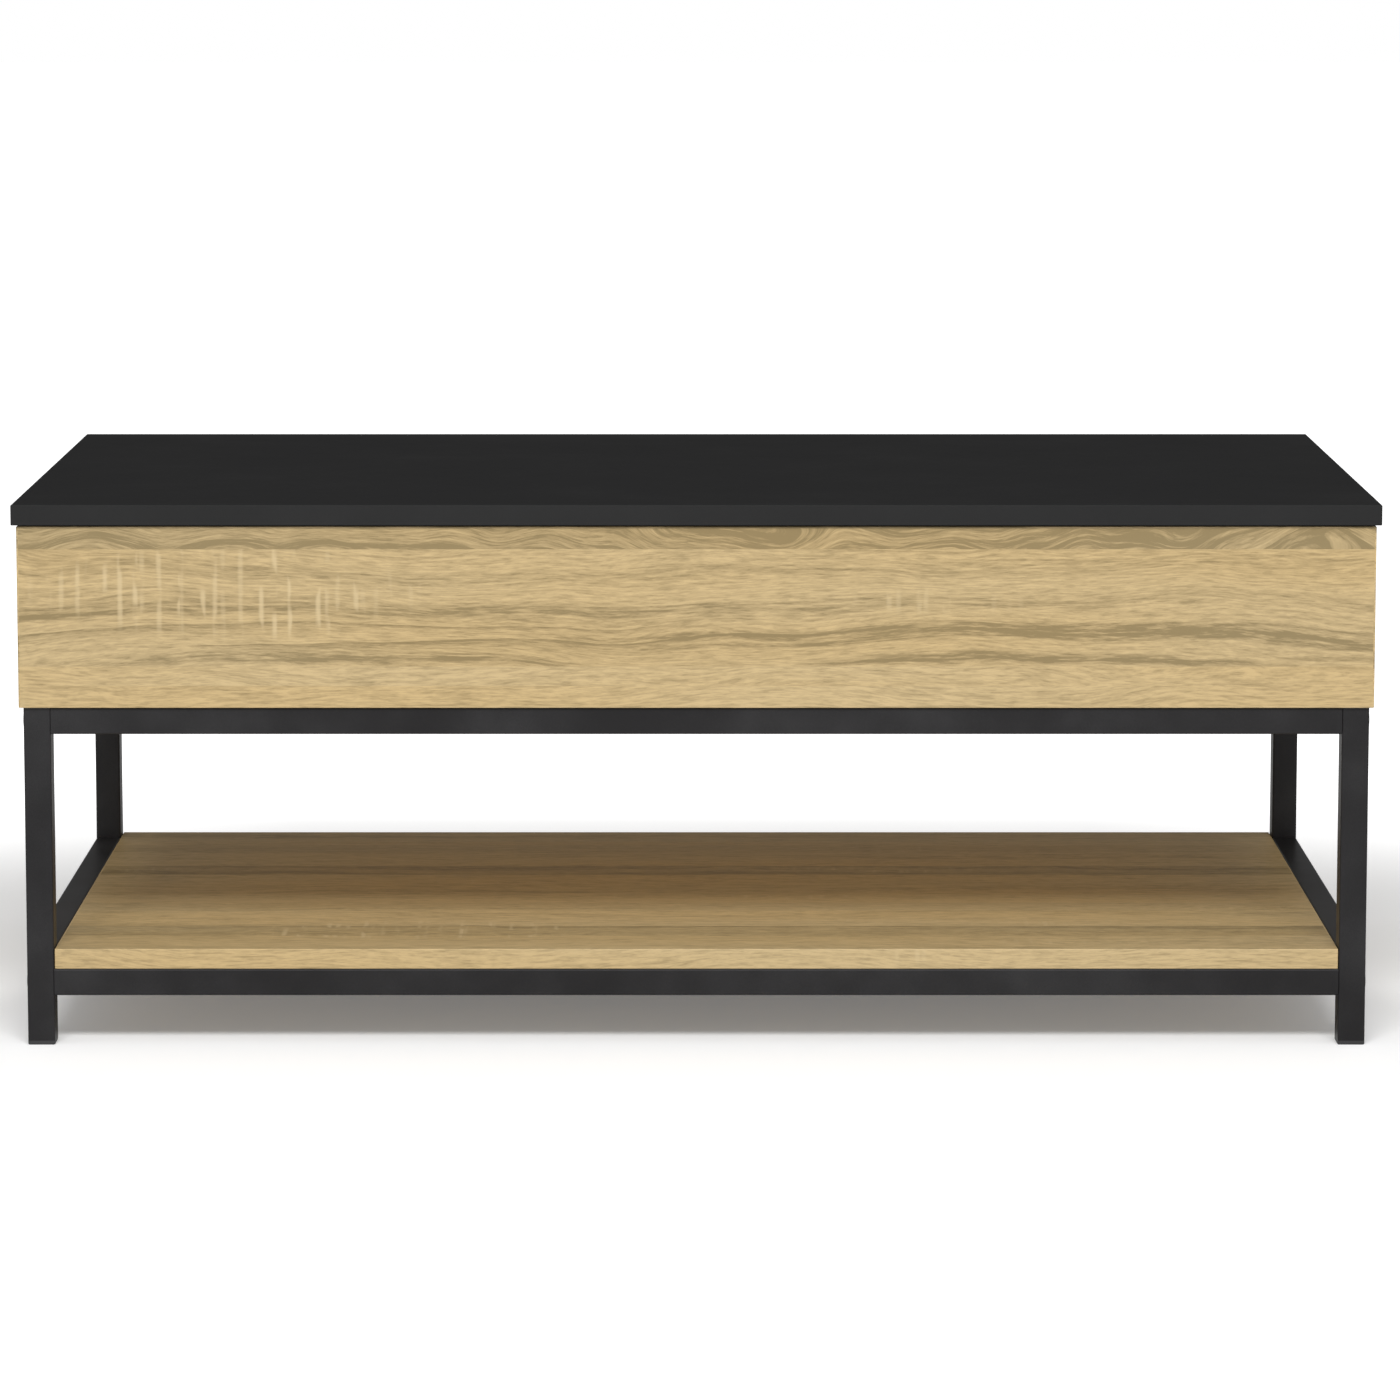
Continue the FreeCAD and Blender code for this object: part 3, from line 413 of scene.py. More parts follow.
def speckle_group():
    """Orange peel, fine grit and slow cloudiness, for coats and mouldings."""
    tree, recipe, given, result = new_group(
        "Speckle",
        (
            ("Position", VECTOR, None), ("Peel", FLOAT, 700.0), ("Grit", FLOAT, 4200.0),
            ("Base", COLOUR, None), ("Spread", FLOAT, 0.25), ("Gloss", FLOAT, 0.4),
        ),
        (("Color", COLOUR), ("Roughness", FLOAT), ("Height", FLOAT)),
    )
    peel = recipe.noise(given["Position"], given["Peel"], 1.0)
    grit = recipe.noise(given["Position"], given["Grit"], 2.0, 0.7)
    cloud = recipe.noise(given["Position"], 9.0, 3.0, 0.6)
    lift = recipe.weigh(recipe.centred(grit), 0.8, cloud)
    lighter = recipe.mix(0.35, given["Base"], (0.32, 0.32, 0.33, 1))
    share = recipe.times(recipe.band(lift, 0.30, 0.85), given["Spread"])
    recipe.feed(result["Color"], recipe.mix(share, given["Base"], lighter))
    rough = recipe.weigh(recipe.centred(cloud), 0.22, given["Gloss"])
    recipe.feed(result["Roughness"], recipe.weigh(grit, 0.08, rough))
    recipe.feed(result["Height"], recipe.weigh(grit, 0.25, peel))
    return tree


def drawn_metal_group():
    """Drawing lines, handling marks and a dull film, for plated and drawn metal."""
    tree, recipe, given, result = new_group(
        "Drawn metal",
        (
            ("Position", VECTOR, None), ("Stretch", VECTOR, (60.0, 900.0, 900.0)),
            ("Base", COLOUR, None), ("Film", COLOUR, None), ("Gloss", FLOAT, 0.3),
        ),
        (("Color", COLOUR), ("Roughness", FLOAT), ("Height", FLOAT)),
    )
    stretched = recipe.add(
        "ShaderNodeVectorMath", given["Position"], given["Stretch"], operation="MULTIPLY"
    )
    lines = recipe.noise(stretched, 1.0, 3.0, 0.6)
    blotch = recipe.noise(given["Position"], 160.0, 3.0, 0.6)
    film = recipe.times(recipe.band(blotch, 0.40, 0.75), 0.55)
    colour = recipe.mix(film, given["Base"], given["Film"])
    darker = recipe.mix(recipe.band(lines, 0.55, 0.80, 0.0, 0.35), colour, (0.12, 0.12, 0.13, 1))
    recipe.feed(result["Color"], darker)
    rough = recipe.weigh(film, 0.30, given["Gloss"])
    recipe.feed(result["Roughness"], recipe.weigh(lines, 0.10, rough))
    recipe.feed(result["Height"], lines)
    return tree


GROUPS = {}


def shared(maker):
    """A node group, built the first time it is asked for."""
    if maker not in GROUPS:
        GROUPS[maker] = maker()
    return GROUPS[maker]


def new_material(name):
    """A material with its recipe, its Principled node and the piece's own coordinates."""
    material = bpy.data.materials.new(name)
    material.use_nodes = True
    recipe = Recipe(material.node_tree)
    shader = material.node_tree.nodes["Principled BSDF"]
    position = recipe.add("ShaderNodeTexCoord", out=3)
    return material, recipe, shader, position


def wear_surface(recipe, shader, outputs, strength, distance):
    """Joins a finish's colour, roughness and height to the shader."""
    recipe.feed(shader.inputs["Base Color"], outputs["Color"])
    recipe.feed(shader.inputs["Roughness"], outputs["Roughness"])
    bump = recipe.tree.nodes.new("ShaderNodeBump")
    bump.inputs["Strength"].default_value = strength
    bump.inputs["Distance"].default_value = distance
    recipe.feed(bump.inputs["Height"], outputs["Height"])
    recipe.feed(shader.inputs["Normal"], bump.outputs["Normal"])


def oak_decor(name, along, across, cut, painted_shade=0.0, marks=(0.0, 0.0, 0.0), figure=1.0):
    """Oak decor whose grain runs along one axis and whose strips stack across another.

    across is an axis and the place where the strips start on it; marks is the middle
    of the saw marks, along the grain and across the strips. The shade that is passed
    in is painted shade: an even darkening, set per board for how brightly it is lit.
    """
    boards = bpy.context.scene.table_boards
    material, recipe, shader, position = new_material(name)
    axes = recipe.tree.nodes.new("ShaderNodeSeparateXYZ")
    recipe.feed(axes.inputs[0], position)
    axis, start = across
    oak = recipe.group(
        shared(sonoma_oak_group),
        Along=axes.outputs[along],
        Across=recipe.math("SUBTRACT", axes.outputs[axis], start),
        Cut=cut,
        Tone=painted_shade,
        Figure=figure,
        Marks=marks,
        Light=(*boards.oak_light, 1),
        Dark=(*boards.oak_dark, 1),
    )
    wear_surface(recipe, shader, oak, 0.25, 0.12 * MM)
    shader.inputs["Specular IOR Level"].default_value = 0.40
    return material


def coated(name, base, peel, grit, spread, gloss, strength, depth, **surface):
    """A coat, a moulding or felt: speckle over one colour.

    peel and grit are how fine the two textures are, spread is how cloudy the colour is,
    strength and depth are those of the bump, and surface sets more of the shader's inputs.
    """
    material, recipe, shader, position = new_material(name)
    skin = recipe.group(
        shared(speckle_group), Position=position, Peel=peel, Grit=grit,
        Base=(*base, 1), Spread=spread, Gloss=gloss,
    )
    wear_surface(recipe, shader, skin, strength, depth)
    for label, amount in surface.items():
        shader.inputs[label.replace("_", " ")].default_value = amount
    return material


def plated(name, base, film, gloss, fineness):
    """Plated or drawn metal; fineness is in marks per metre."""
    material, recipe, shader, position = new_material(name)
    metal = recipe.group(
        shared(drawn_metal_group), Position=position, Stretch=(fineness,) * 3,
        Base=(*base, 1), Film=(*film, 1), Gloss=gloss,
    )
    wear_surface(recipe, shader, metal, 0.12, 0.03 * MM)
    shader.inputs["Metallic"].default_value = 1.0
    return material


def beech():
    """Beech dowel: fine flecks along the grain."""
    material, recipe, shader, position = new_material("Beech")
    flecks = recipe.noise(recipe.scaled(position, (900.0, 120.0, 900.0)), detail=3.0, rough=0.6)
    share = recipe.band(flecks, 0.4, 0.75)
    wood = {
        "Color": recipe.mix(share, (0.52, 0.33, 0.18, 1), (0.30, 0.17, 0.08, 1)),
        "Roughness": recipe.weigh(flecks, 0.2, 0.55),
        "Height": flecks,
    }
    wear_surface(recipe, shader, wood, 0.3, 0.1 * MM)
    return material


def studio_floor():
    """Pale paper with a barely visible tooth, and a painted glow that the camera alone sees: it
    lifts the shadow near and behind the table and fades the floor to white further out.
    """
    material, recipe, shader, position = new_material("Pale floor")
    tooth = recipe.noise(position, 40.0, 3.0, 0.6)
    colour = recipe.mix(tooth, (0.86, 0.86, 0.86, 1), (0.90, 0.90, 0.90, 1))
    recipe.feed(shader.inputs["Base Color"], colour)
    shader.inputs["Roughness"].default_value = 0.9
    shader.inputs["Specular IOR Level"].default_value = 0.1
    distance = recipe.add("ShaderNodeVectorMath", position, operation="LENGTH", out=1)
    axes = recipe.tree.nodes.new("ShaderNodeSeparateXYZ")
    recipe.feed(axes.inputs[0], position)
    # painted glow: emission seen by the camera alone, weak near the table and behind it where it
    # lifts the cast shadow, and strong further out
    painted_glow = recipe.math(
        "MAXIMUM", recipe.band(distance, 0.6, 2.0, 0.16, 0.80),
        recipe.band(axes.outputs[1], 0.30, 0.95, 0.16, 0.85),
    )
    seen = recipe.add("ShaderNodeLightPath")
    recipe.feed(shader.inputs["Emission Strength"], recipe.times(painted_glow, seen))
    shader.inputs["Emission Color"].default_value = (1, 1, 1, 1)
    return material


def laminate(name, base):
    """Matt black laminate with a faint emboss."""
    return coated(
        name, base, peel=1500.0, grit=5200.0, spread=0.03, gloss=0.52,
        strength=0.10, depth=0.05 * MM, Specular_IOR_Level=0.10,
    )


FINISH_MAKERS = {
    "laminate": lambda: laminate("Black laminate", bpy.context.scene.table_boards.laminate),
    # the edge finish is the black laminate painted lighter, a painted highlight on the top's edges
    "lit laminate edge": lambda: laminate(
        "Lit black edge band", bpy.context.scene.table_boards.lit_laminate_edge
    ),
    "powder coat": lambda: coated(
        "Black powder coat", bpy.context.scene.table_frame.coat, peel=620.0, grit=3600.0,
        spread=0.16, gloss=0.36, strength=0.16, depth=0.08 * MM, Specular_IOR_Level=0.24,
    ),
    "dip coat": lambda: coated(
        "Black dip coat", (0.028, 0.028, 0.030), peel=260.0, grit=2600.0,
        spread=0.35, gloss=0.30, strength=0.10, depth=0.06 * MM,
    ),
    "black oxide": lambda: coated(
        "Black oxide", (0.022, 0.021, 0.021), peel=900.0, grit=6000.0,
        spread=0.3, gloss=0.34, strength=0.10, depth=0.03 * MM, Metallic=0.6,
    ),
    "plastic": lambda: coated(
        "Black polythene", (0.018, 0.018, 0.019), peel=1100.0, grit=5000.0,
        spread=0.2, gloss=0.42, strength=0.25, depth=0.08 * MM,
    ),
    "rubber": lambda: coated(
        "Black rubber", (0.022, 0.022, 0.022), peel=1100.0, grit=5000.0,
        spread=0.4, gloss=0.75, strength=0.25, depth=0.08 * MM,
    ),
    "felt": lambda: coated(
        "Pressed felt", (0.045, 0.038, 0.032), peel=2400.0, grit=7000.0,
        spread=0.8, gloss=0.92, strength=0.8, depth=0.2 * MM, Sheen_Weight=0.4,
    ),
    "zinc": lambda: plated(
        "Zinc plate", (0.66, 0.67, 0.69), (0.46, 0.45, 0.42), gloss=0.26, fineness=700.0
    ),
    "cast zinc": lambda: plated(
        "Cast zinc", (0.52, 0.52, 0.54), (0.38, 0.37, 0.36), gloss=0.42, fineness=500.0
    ),
    "spring wire": lambda: plated(
        "Spring wire", (0.50, 0.50, 0.52), (0.32, 0.30, 0.28), gloss=0.24, fineness=900.0
    ),
    "beech": beech,
    "floor": studio_floor,
}
FINISHES = {}


def finish(name):
    """A finish by its name, made the first time it is asked for."""
    if name not in FINISHES:
        FINISHES[name] = FINISH_MAKERS[name]()
    return FINISHES[name]


# ---------------------------------------------------------------- modelling


def deselect():
    if bpy.context.object and bpy.context.object.mode != "OBJECT":
        bpy.ops.object.mode_set(mode="OBJECT")
    bpy.ops.object.select_all(action="DESELECT")


def pick(piece):
    """Make a piece the only one that the next operators act on."""
    deselect()
    piece.select_set(True)
    bpy.context.view_layer.objects.active = piece


def settle(piece, name=None):
    """Name the piece and put its place into its mesh."""
    pick(piece)
    if name:
        piece.name = piece.data.name = name
    bpy.ops.object.transform_apply(location=True, rotation=True, scale=True)
    return piece


def block(name, low, high):
    low, high = Vector(low), Vector(high)
    deselect()
    bpy.ops.mesh.primitive_cube_add(size=1, location=(low + high) / 2, scale=high - low)
    return settle(bpy.context.active_object, name)


def disc(name, radius, start, end, axis=Z_AXIS, centre=(0, 0, 0), sides=48):
    """A cylinder round an axis through a centre, between two distances along it."""
    deselect()
    middle = Vector(centre) + axis * (start + end) / 2
    bpy.ops.mesh.primitive_cylinder_add(
        vertices=sides, radius=radius, depth=abs(end - start), location=middle,
        rotation=Z_AXIS.rotation_difference(axis).to_euler(),
    )
    return settle(bpy.context.active_object, name)


def in_edit(piece, faces=None, edges=None):
    """Open the piece for editing with only the wanted faces or edges selected."""
    pick(piece)
    bpy.ops.object.mode_set(mode="EDIT")
    bpy.ops.mesh.select_mode(type="FACE" if faces else "EDGE")
    bpy.ops.mesh.select_all(action="DESELECT")
    bpy.ops.object.mode_set(mode="OBJECT")
    mesh = piece.data
    if faces:
        for face in mesh.polygons:
            face.select = faces(face)
    if edges:
        for edge in mesh.edges:
            first, second = (mesh.vertices[number].co for number in edge.vertices)
            edge.select = edges(first, second)
    bpy.ops.object.mode_set(mode="EDIT")


def out_of_edit():
    bpy.ops.object.mode_set(mode="OBJECT")


def faces_down(face):
    return face.normal.z < -0.9


def above(height):
    """Picks the edges that lie above a height."""
    return lambda first, second: min(first.z, second.z) > height


def below(height):
    """Picks the edges that lie below a height."""
    return lambda first, second: max(first.z, second.z) < height


def taper(piece, bottom, share_x, share_y):
    """Narrow the piece's underside towards the Z axis."""
    in_edit(piece, faces=faces_down)
    bpy.ops.transform.resize(value=(share_x, share_y, 1), center_override=(0, 0, bottom))
    out_of_edit()


def bevel_edges(piece, wanted, width, segments):
    in_edit(piece, edges=wanted)
    bpy.ops.mesh.bevel(offset=width, segments=segments, affect="EDGES", clamp_overlap=True)
    out_of_edit()


def push_face(piece, rim, rise):
    """Inset the piece's top face by a rim and push what is inside it up or down."""
    top = max(vertex.co.z for vertex in piece.data.vertices)

    def is_top(face):
        return face.normal.z > 0.99 and top - face.center.z < 0.01 * MM

    in_edit(piece, faces=is_top)
    bpy.ops.mesh.inset(thickness=rim)
    bpy.ops.mesh.extrude_region_move(TRANSFORM_OT_translate={"value": (0, 0, rise)})
    out_of_edit()


def apply_modifier(piece, kind, **settings):
    pick(piece)
    modifier = piece.modifiers.new(kind.title(), kind)
    for name, setting in settings.items():
        setattr(modifier, name, setting)
    bpy.ops.object.modifier_apply(modifier=modifier.name)


def soften(piece, width, segments, angle=40):
    """Round the sharp edges a little and shade them smoothly."""
    apply_modifier(
        piece, "BEVEL", width=width, segments=segments, limit_method="ANGLE",
        angle_limit=radians(angle), use_clamp_overlap=True, harden_normals=False,
    )
    shade(piece, angle)
    apply_modifier(piece, "WEIGHTED_NORMAL", keep_sharp=True)
    return piece


def carve(piece, cutter, operation="DIFFERENCE"):
    """Take the cutter out of the piece, or join it on."""
    apply_modifier(piece, "BOOLEAN", operation=operation, solver="EXACT", object=cutter)
    bpy.data.objects.remove(cutter, do_unlink=True)
    return piece


def shade(piece, angle=35):
    """Smooth shading, with every edge sharper than the angle kept crisp."""
    pick(piece)
    bpy.ops.object.shade_smooth_by_angle(angle=radians(angle))
    return piece


def copy_to(master, spot, turn=Matrix()):
    """A copy with its own mesh, turned and then moved."""
    pick(master)
    bpy.ops.object.duplicate(linked=False)
    twin = bpy.context.active_object
    twin.matrix_world = Matrix.Translation(Vector(spot)) @ turn @ twin.matrix_world
    return settle(twin)


def turn_to(axis):
    """Turns a piece that points up so that it points along the axis."""
    return Z_AXIS.rotation_difference(axis).to_matrix().to_4x4()


def join(name, pieces):
    deselect()
    for piece in pieces:
        piece.select_set(True)
    bpy.context.view_layer.objects.active = pieces[0]
    bpy.ops.object.join()
    return settle(pieces[0], name)


def discard(*pieces):
    for piece in pieces:
        bpy.data.objects.remove(piece, do_unlink=True)


def paint(piece, *materials):
    if piece.data.materials:
        piece.data.materials.clear()
    for material in materials:
        piece.data.materials.append(material)


def hand_in(piece, body, nodes):
    """Put a finished piece on its body in place of its CAD nodes."""
    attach(piece, body)
    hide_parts(*nodes)


def solids_of(node):
    """The lowest and highest corner of each separate solid in a CAD node."""
    mesh = NODES[node].data
    owner = {}
    keys = [tuple(round(part, 6) for part in vertex.co) for vertex in mesh.vertices]

    def root(key):
        while owner.setdefault(key, key) != key:
            owner[key] = owner[owner[key]]
            key = owner[key]
        return key

    for face in mesh.polygons:
        first = root(keys[face.vertices[0]])
        for number in face.vertices[1:]:
            owner[root(keys[number])] = first
    corners = {}
    for key in set(keys):
        low, high = corners.setdefault(root(key), (Vector(key), Vector(key)))
        for axis in range(3):
            low[axis] = min(low[axis], key[axis])
            high[axis] = max(high[axis], key[axis])
    return sorted(corners.values(), key=lambda pair: tuple(pair[0]))


def middle_of(low, high):
    return (low + high) / 2


def crosswise(node, inward=False, sunk=0.0, gauge=1):
    """Where the heads of a node's solids that lie along X are seated and how they point.

    A seat is sunk below the solid's outer end, or below its inner end if it points
    inward. The radius, as measured on the gauge axis, and the length beyond the seat
    come with the places.
    """
    places = []
    for low, high in solids_of(node):
        middle = middle_of(low, high)
        on_right = middle.x > 0
        way = X_AXIS if on_right != inward else -X_AXIS
        end = high.x if way.x > 0 else low.x
        places.append((Vector((end - way.x * sunk, middle.y, middle.z)), way))
    return places, (high[gauge] - low[gauge]) / 2, high.x - low.x - sunk


def dress(name, node, width, segments, coat, body):
    """Hands in a clean copy of a CAD node: merged, its edges rounded by a width, and painted."""
    source = NODES[node]
    deselect()
    twin = source.copy()
    twin.data = source.data.copy()
    bpy.context.scene.collection.objects.link(twin)
    twin.parent = None
    twin.matrix_world = Matrix()
    for key in list(twin.keys()):
        del twin[key]
    pick(twin)
    bpy.ops.object.mode_set(mode="EDIT")
    bpy.ops.mesh.select_all(action="SELECT")
    bpy.ops.mesh.remove_doubles(threshold=0.002 * MM)
    bpy.ops.mesh.dissolve_limited(angle_limit=radians(1.0))
    out_of_edit()
    piece = soften(settle(twin, name), width, segments)
    paint(piece, finish(coat))
    hand_in(piece, body, [node])


# ---------------------------------------------------------------- pieces


def faced_board(name, node, thickness_axis, settings, bores=()):
    """A board with rounded arrises, whose edge band shows as a thin line on its faces.

    Each bore is a radius, a depth, the middle of its mouth and the way out of it.
    """
    low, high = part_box(node)
    board = block(name, low, high)
    rim = settings.band_thickness + settings.edge_round

    def on_face(face):
        return abs(face.normal[thickness_axis]) > 0.9

    in_edit(board, faces=on_face)
    bpy.ops.mesh.inset(thickness=rim)
    out_of_edit()
    for radius, depth, mouth, way in bores:
        carve(board, disc("bore", radius, -depth, 1 * MM, way, mouth))
    across = [axis for axis in range(3) if axis != thickness_axis]
    for face in board.data.polygons:
        inside = all(
            low[axis] + 0.75 * rim < face.center[axis] < high[axis] - 0.75 * rim for axis in across
        )
        face.material_index = 0 if on_face(face) and inside else 1
    return soften(board, settings.edge_round, 3)


class TABLE_OT_lift_top(bpy.types.Operator):
    """Lay the black laminated board of the lifting top"""

    bl_idname = "table.lift_top"
    bl_label = "Lifting top"

    def execute(self, context):
        board = faced_board("lifting_top_board", "lift_top", 2, context.scene.table_boards)
        # the lighter edge finish on the rim and edges is a painted highlight
        paint(board, finish("laminate"), finish("lit laminate edge"))
        hand_in(board, "top", ["lift_top"])
        return {"FINISHED"}


class TABLE_OT_box_panels(bpy.types.Operator):
    """Set up the storage box's five panels in oak decor"""

    bl_idname = "table.box_panels"
    bl_label = "Storage box"

    def execute(self, context):
        boards = context.scene.table_boards
        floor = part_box("front_panel")[0].z
        cams, radius, depth = crosswise("cam_housings", inward=True)
        clearance = 0.1 * MM
        cuts = {"front": 3.1, "rear": 8.7, "left": 5.2, "right": 6.6}
        marks = {"front": (-0.34, 0.082, 0), "rear": (0.21, 0.060, 0)}
        for side, cut in cuts.items():
            lengthwise = side in ENDS
            axis = 0 if lengthwise else 1
            bores = [
                (radius + clearance, depth, mouth, way)
                for mouth, way in cams
                if not lengthwise and SIDES[side] * mouth.x > 0
            ]
            board = faced_board(f"{side}_box_board", f"{side}_panel", 1 - axis, boards, bores)
            middle = marks.get(side, (0.1, 0.070, 0))
            # painted shade of 0.13 darkens the panel faces for how brightly they are lit; their
            # edge bands get none
            face = oak_decor(
                f"Oak decor {side}", axis, (2, floor), cut, painted_shade=0.13, marks=middle
            )
            band = oak_decor(f"Oak edge {side}", axis, (2, floor - 0.160), cut + 2.3)
            paint(board, face, band)
            hand_in(board, "base", [f"{side}_panel"])
        board = faced_board("bottom_box_board", "bottom_panel", 2, boards)
        face = oak_decor(
            "Oak decor bottom", 0, (1, -0.02), 4.4, marks=(0.2, 0.1, 0), figure=0.6
        )
        paint(board, face, face)
        hand_in(board, "base", ["bottom_panel"])
        return {"FINISHED"}


class TABLE_OT_shelf(bpy.types.Operator):
    """Lay the lower shelf in oak decor"""

    bl_idname = "table.shelf"
    bl_label = "Lower shelf"

    def execute(self, context):
        board = faced_board("shelf_board", "lower_shelf", 2, context.scene.table_boards)
        # painted shade of 0.05 on the shelf's faces and 0.10 on its edge band, for how brightly
        # each is lit
        face = oak_decor(
            "Oak decor shelf", 0, (1, -0.31), 1.7, painted_shade=0.05, marks=(-0.2, 0.14, 0), figure=0.5
        )
        band = oak_decor(
            "Oak edge shelf", 0, (2, 0.0565), 2.9, painted_shade=0.10, marks=NO_MARKS
        )
        paint(board, face, band)
        hand_in(board, "base", ["lower_shelf"])
        return {"FINISHED"}


def tube(name, node, axis, settings, hollow):
    """Square tube: rounded long corners, and open ends as deep as hollow."""
    bar = block(name, *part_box(node))

    def runs_along(first, second):
        way = (second - first).normalized()
        return abs(way[axis]) > 0.99

    bevel_edges(bar, runs_along, settings.tube_round, 4)
    in_edit(bar, faces=lambda face: abs(face.normal[axis]) > 0.99)
    bpy.ops.mesh.inset(thickness=settings.tube_wall)
    bpy.ops.mesh.extrude_region_shrink_fatten(TRANSFORM_OT_shrink_fatten={"value": -hollow})
    out_of_edit()
    shade(bar, 40)
    apply_modifier(bar, "WEIGHTED_NORMAL", keep_sharp=True)
    paint(bar, finish("powder coat"))
    return bar


class TABLE_OT_frame(bpy.types.Operator):
    """Weld up the square tube frame: legs, rails and the tabs that carry the box"""

    bl_idname = "table.frame"
    bl_label = "Tube frame"

    def execute(self, context):
        settings = context.scene.table_frame
        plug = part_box("leg_glides")[1].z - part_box("front_left_leg")[0].z
        for end in ENDS:
            for side in SIDES:
                node = f"{end}_{side}_leg"
                leg = tube(f"{node}_tube", node, 2, settings, plug + 1 * MM)
                hand_in(leg, "base", [node])
        for level in ("upper", "lower"):
            for place in (*ENDS, *SIDES):
                node = f"{level}_{place}_rail"
                rail = tube(f"{node}_tube", node, 0 if place in ENDS else 1, settings, RAIL_HOLLOW)
                hand_in(rail, "base", [node])
        dress(
            "mounting_tabs", "box_mounting_tabs", 0.3 * MM, 2,
            "powder coat", "base",
        )
        paint(NODES["rail_nut_plates"], finish("zinc"))
        return {"FINISHED"}


class TABLE_OT_glides(bpy.types.Operator):
    """Push a moulded glide into the foot of each leg"""

    bl_idname = "table.glides"
    bl_label = "Leg glides"

    def execute(self, context):
        corner, sole_round, wall, hollow = 1.4 * MM, 0.8 * MM, 2 * MM, 8 * MM
        glides = []
        inset = context.scene.table_frame.tube_wall + 0.2 * MM
        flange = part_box("front_left_leg")[0].z
        for low, high in solids_of("leg_glides"):
            foot = block("foot", low, (high.x, high.y, flange))

            def upright(first, second):
                return abs(first.z - second.z) > flange / 2

            bevel_edges(foot, upright, corner, 4)
            bevel_edges(foot, below(0.1 * MM), sole_round, 3)
            margin = Vector((inset, inset, 0))
            plug = block("plug", low + margin + Z_AXIS * flange, high - margin)
            push_face(plug, wall, -hollow)
            glides += [foot, plug]
        piece = shade(join("moulded_glides", glides), 40)
        paint(piece, finish("plastic"))
        hand_in(piece, "base", ["leg_glides"])
        return {"FINISHED"}


def socket_bolt(radius, height, shank_radius, length):
    """Button head bolt with a hexagon socket, its head up and its seat at zero."""
    key, key_depth = 2.0 * MM, 2.1 * MM
    head = disc("bolt", radius, 0, height)
    bevel_edges(head, above(height * 0.9), height * 0.62, 5)
    carve(head, disc("socket", key, height - key_depth, height + 1 * MM, sides=6))
    shank = disc("shank", shank_radius, -length, 0)
    bevel_edges(shank, below(-length * 0.9), 0.8 * MM, 2)
    return shade(join("bolt", [head, shank]))


def hole_cap(radius, proud, depth):
    """Push-in cap: a thin domed flange over a hollow plug that points down."""
    lip, wall = 1.05 * MM, 1 * MM
    cap = disc("cap", radius, 0, proud)
    bevel_edges(cap, above(proud * 0.9), proud * 0.8, 3)
    plug = disc("plug", radius - lip, -depth, 0)
    in_edit(plug, faces=faces_down)
    bpy.ops.mesh.inset(thickness=wall)
    bpy.ops.mesh.extrude_region_move(TRANSFORM_OT_translate={"value": (0, 0, depth * 0.8)})
    out_of_edit()
    return shade(join("cap", [cap, plug]))


def cross_cutter(reach, depth, top):
    """Two crossed tapered blades that press a screwdriver's cross."""
    half, broad, narrow = 0.55 * MM, 0.7, 0.35
    bottom = top - depth
    flat = block("blade", (-reach, -half, bottom), (reach, half, top + 1 * MM))
    taper(flat, bottom, narrow, broad)
    upright = block("blade", (-half, -reach, bottom), (half, reach, top + 1 * MM))
    taper(upright, bottom, broad, narrow)
    return carve(flat, upright, "UNION")


def pan_screw(radius, height, shank_radius, length):
    """Pan head cross-recessed wood screw, its head up and its seat at zero."""
    head = disc("screw", radius, 0, height, sides=40)
    bevel_edges(head, above(height * 0.9), height * 0.7, 5)
    carve(head, cross_cutter(reach=2.1 * MM, depth=1.5 * MM, top=height))
    return with_thread(head, shank_radius, length)


def flat_screw(radius, height, shank_radius, length):
    """Countersunk cross-recessed wood screw, flush with zero and pointing down."""
    head = disc("screw", radius, -height, 0, sides=40)
    taper(head, -height, shank_radius / radius, shank_radius / radius)
    carve(head, cross_cutter(reach=2.1 * MM, depth=1.4 * MM, top=0))
    return with_thread(head, shank_radius, length)


def with_thread(head, shank_radius, length):
    """Joins a pointed shank with a raised thread under a screw's head."""
    core = shank_radius * 0.72
    shoulder = -length * 0.85
    plain, pitch, ridge_height = 2 * MM, 1.8 * MM, 0.5 * MM
    shank = disc("shank", core, shoulder, 0, sides=20)
    tip = disc("tip", core, -length, shoulder, sides=20)
    taper(tip, -length, 0.1, 0.1)

    def is_level(first, second):
        return abs(first.z - second.z) < 1e-6

    ridges = []
    for number in range(int(length * 0.8 / pitch)):
        start = -plain - number * pitch
        ridge = disc("ridge", shank_radius, start - ridge_height, start, sides=16)
        bevel_edges(ridge, is_level, 0.2 * MM, 1)
        ridges.append(ridge)
    return shade(join("screw", [head, shank, tip, *ridges]))


def spread(name, master, places):
    """Copies of a master at places, each a spot and the way its head points."""
    copies = [copy_to(master, spot, turn_to(way)) for spot, way in places]
    discard(master)
    return join(name, copies)


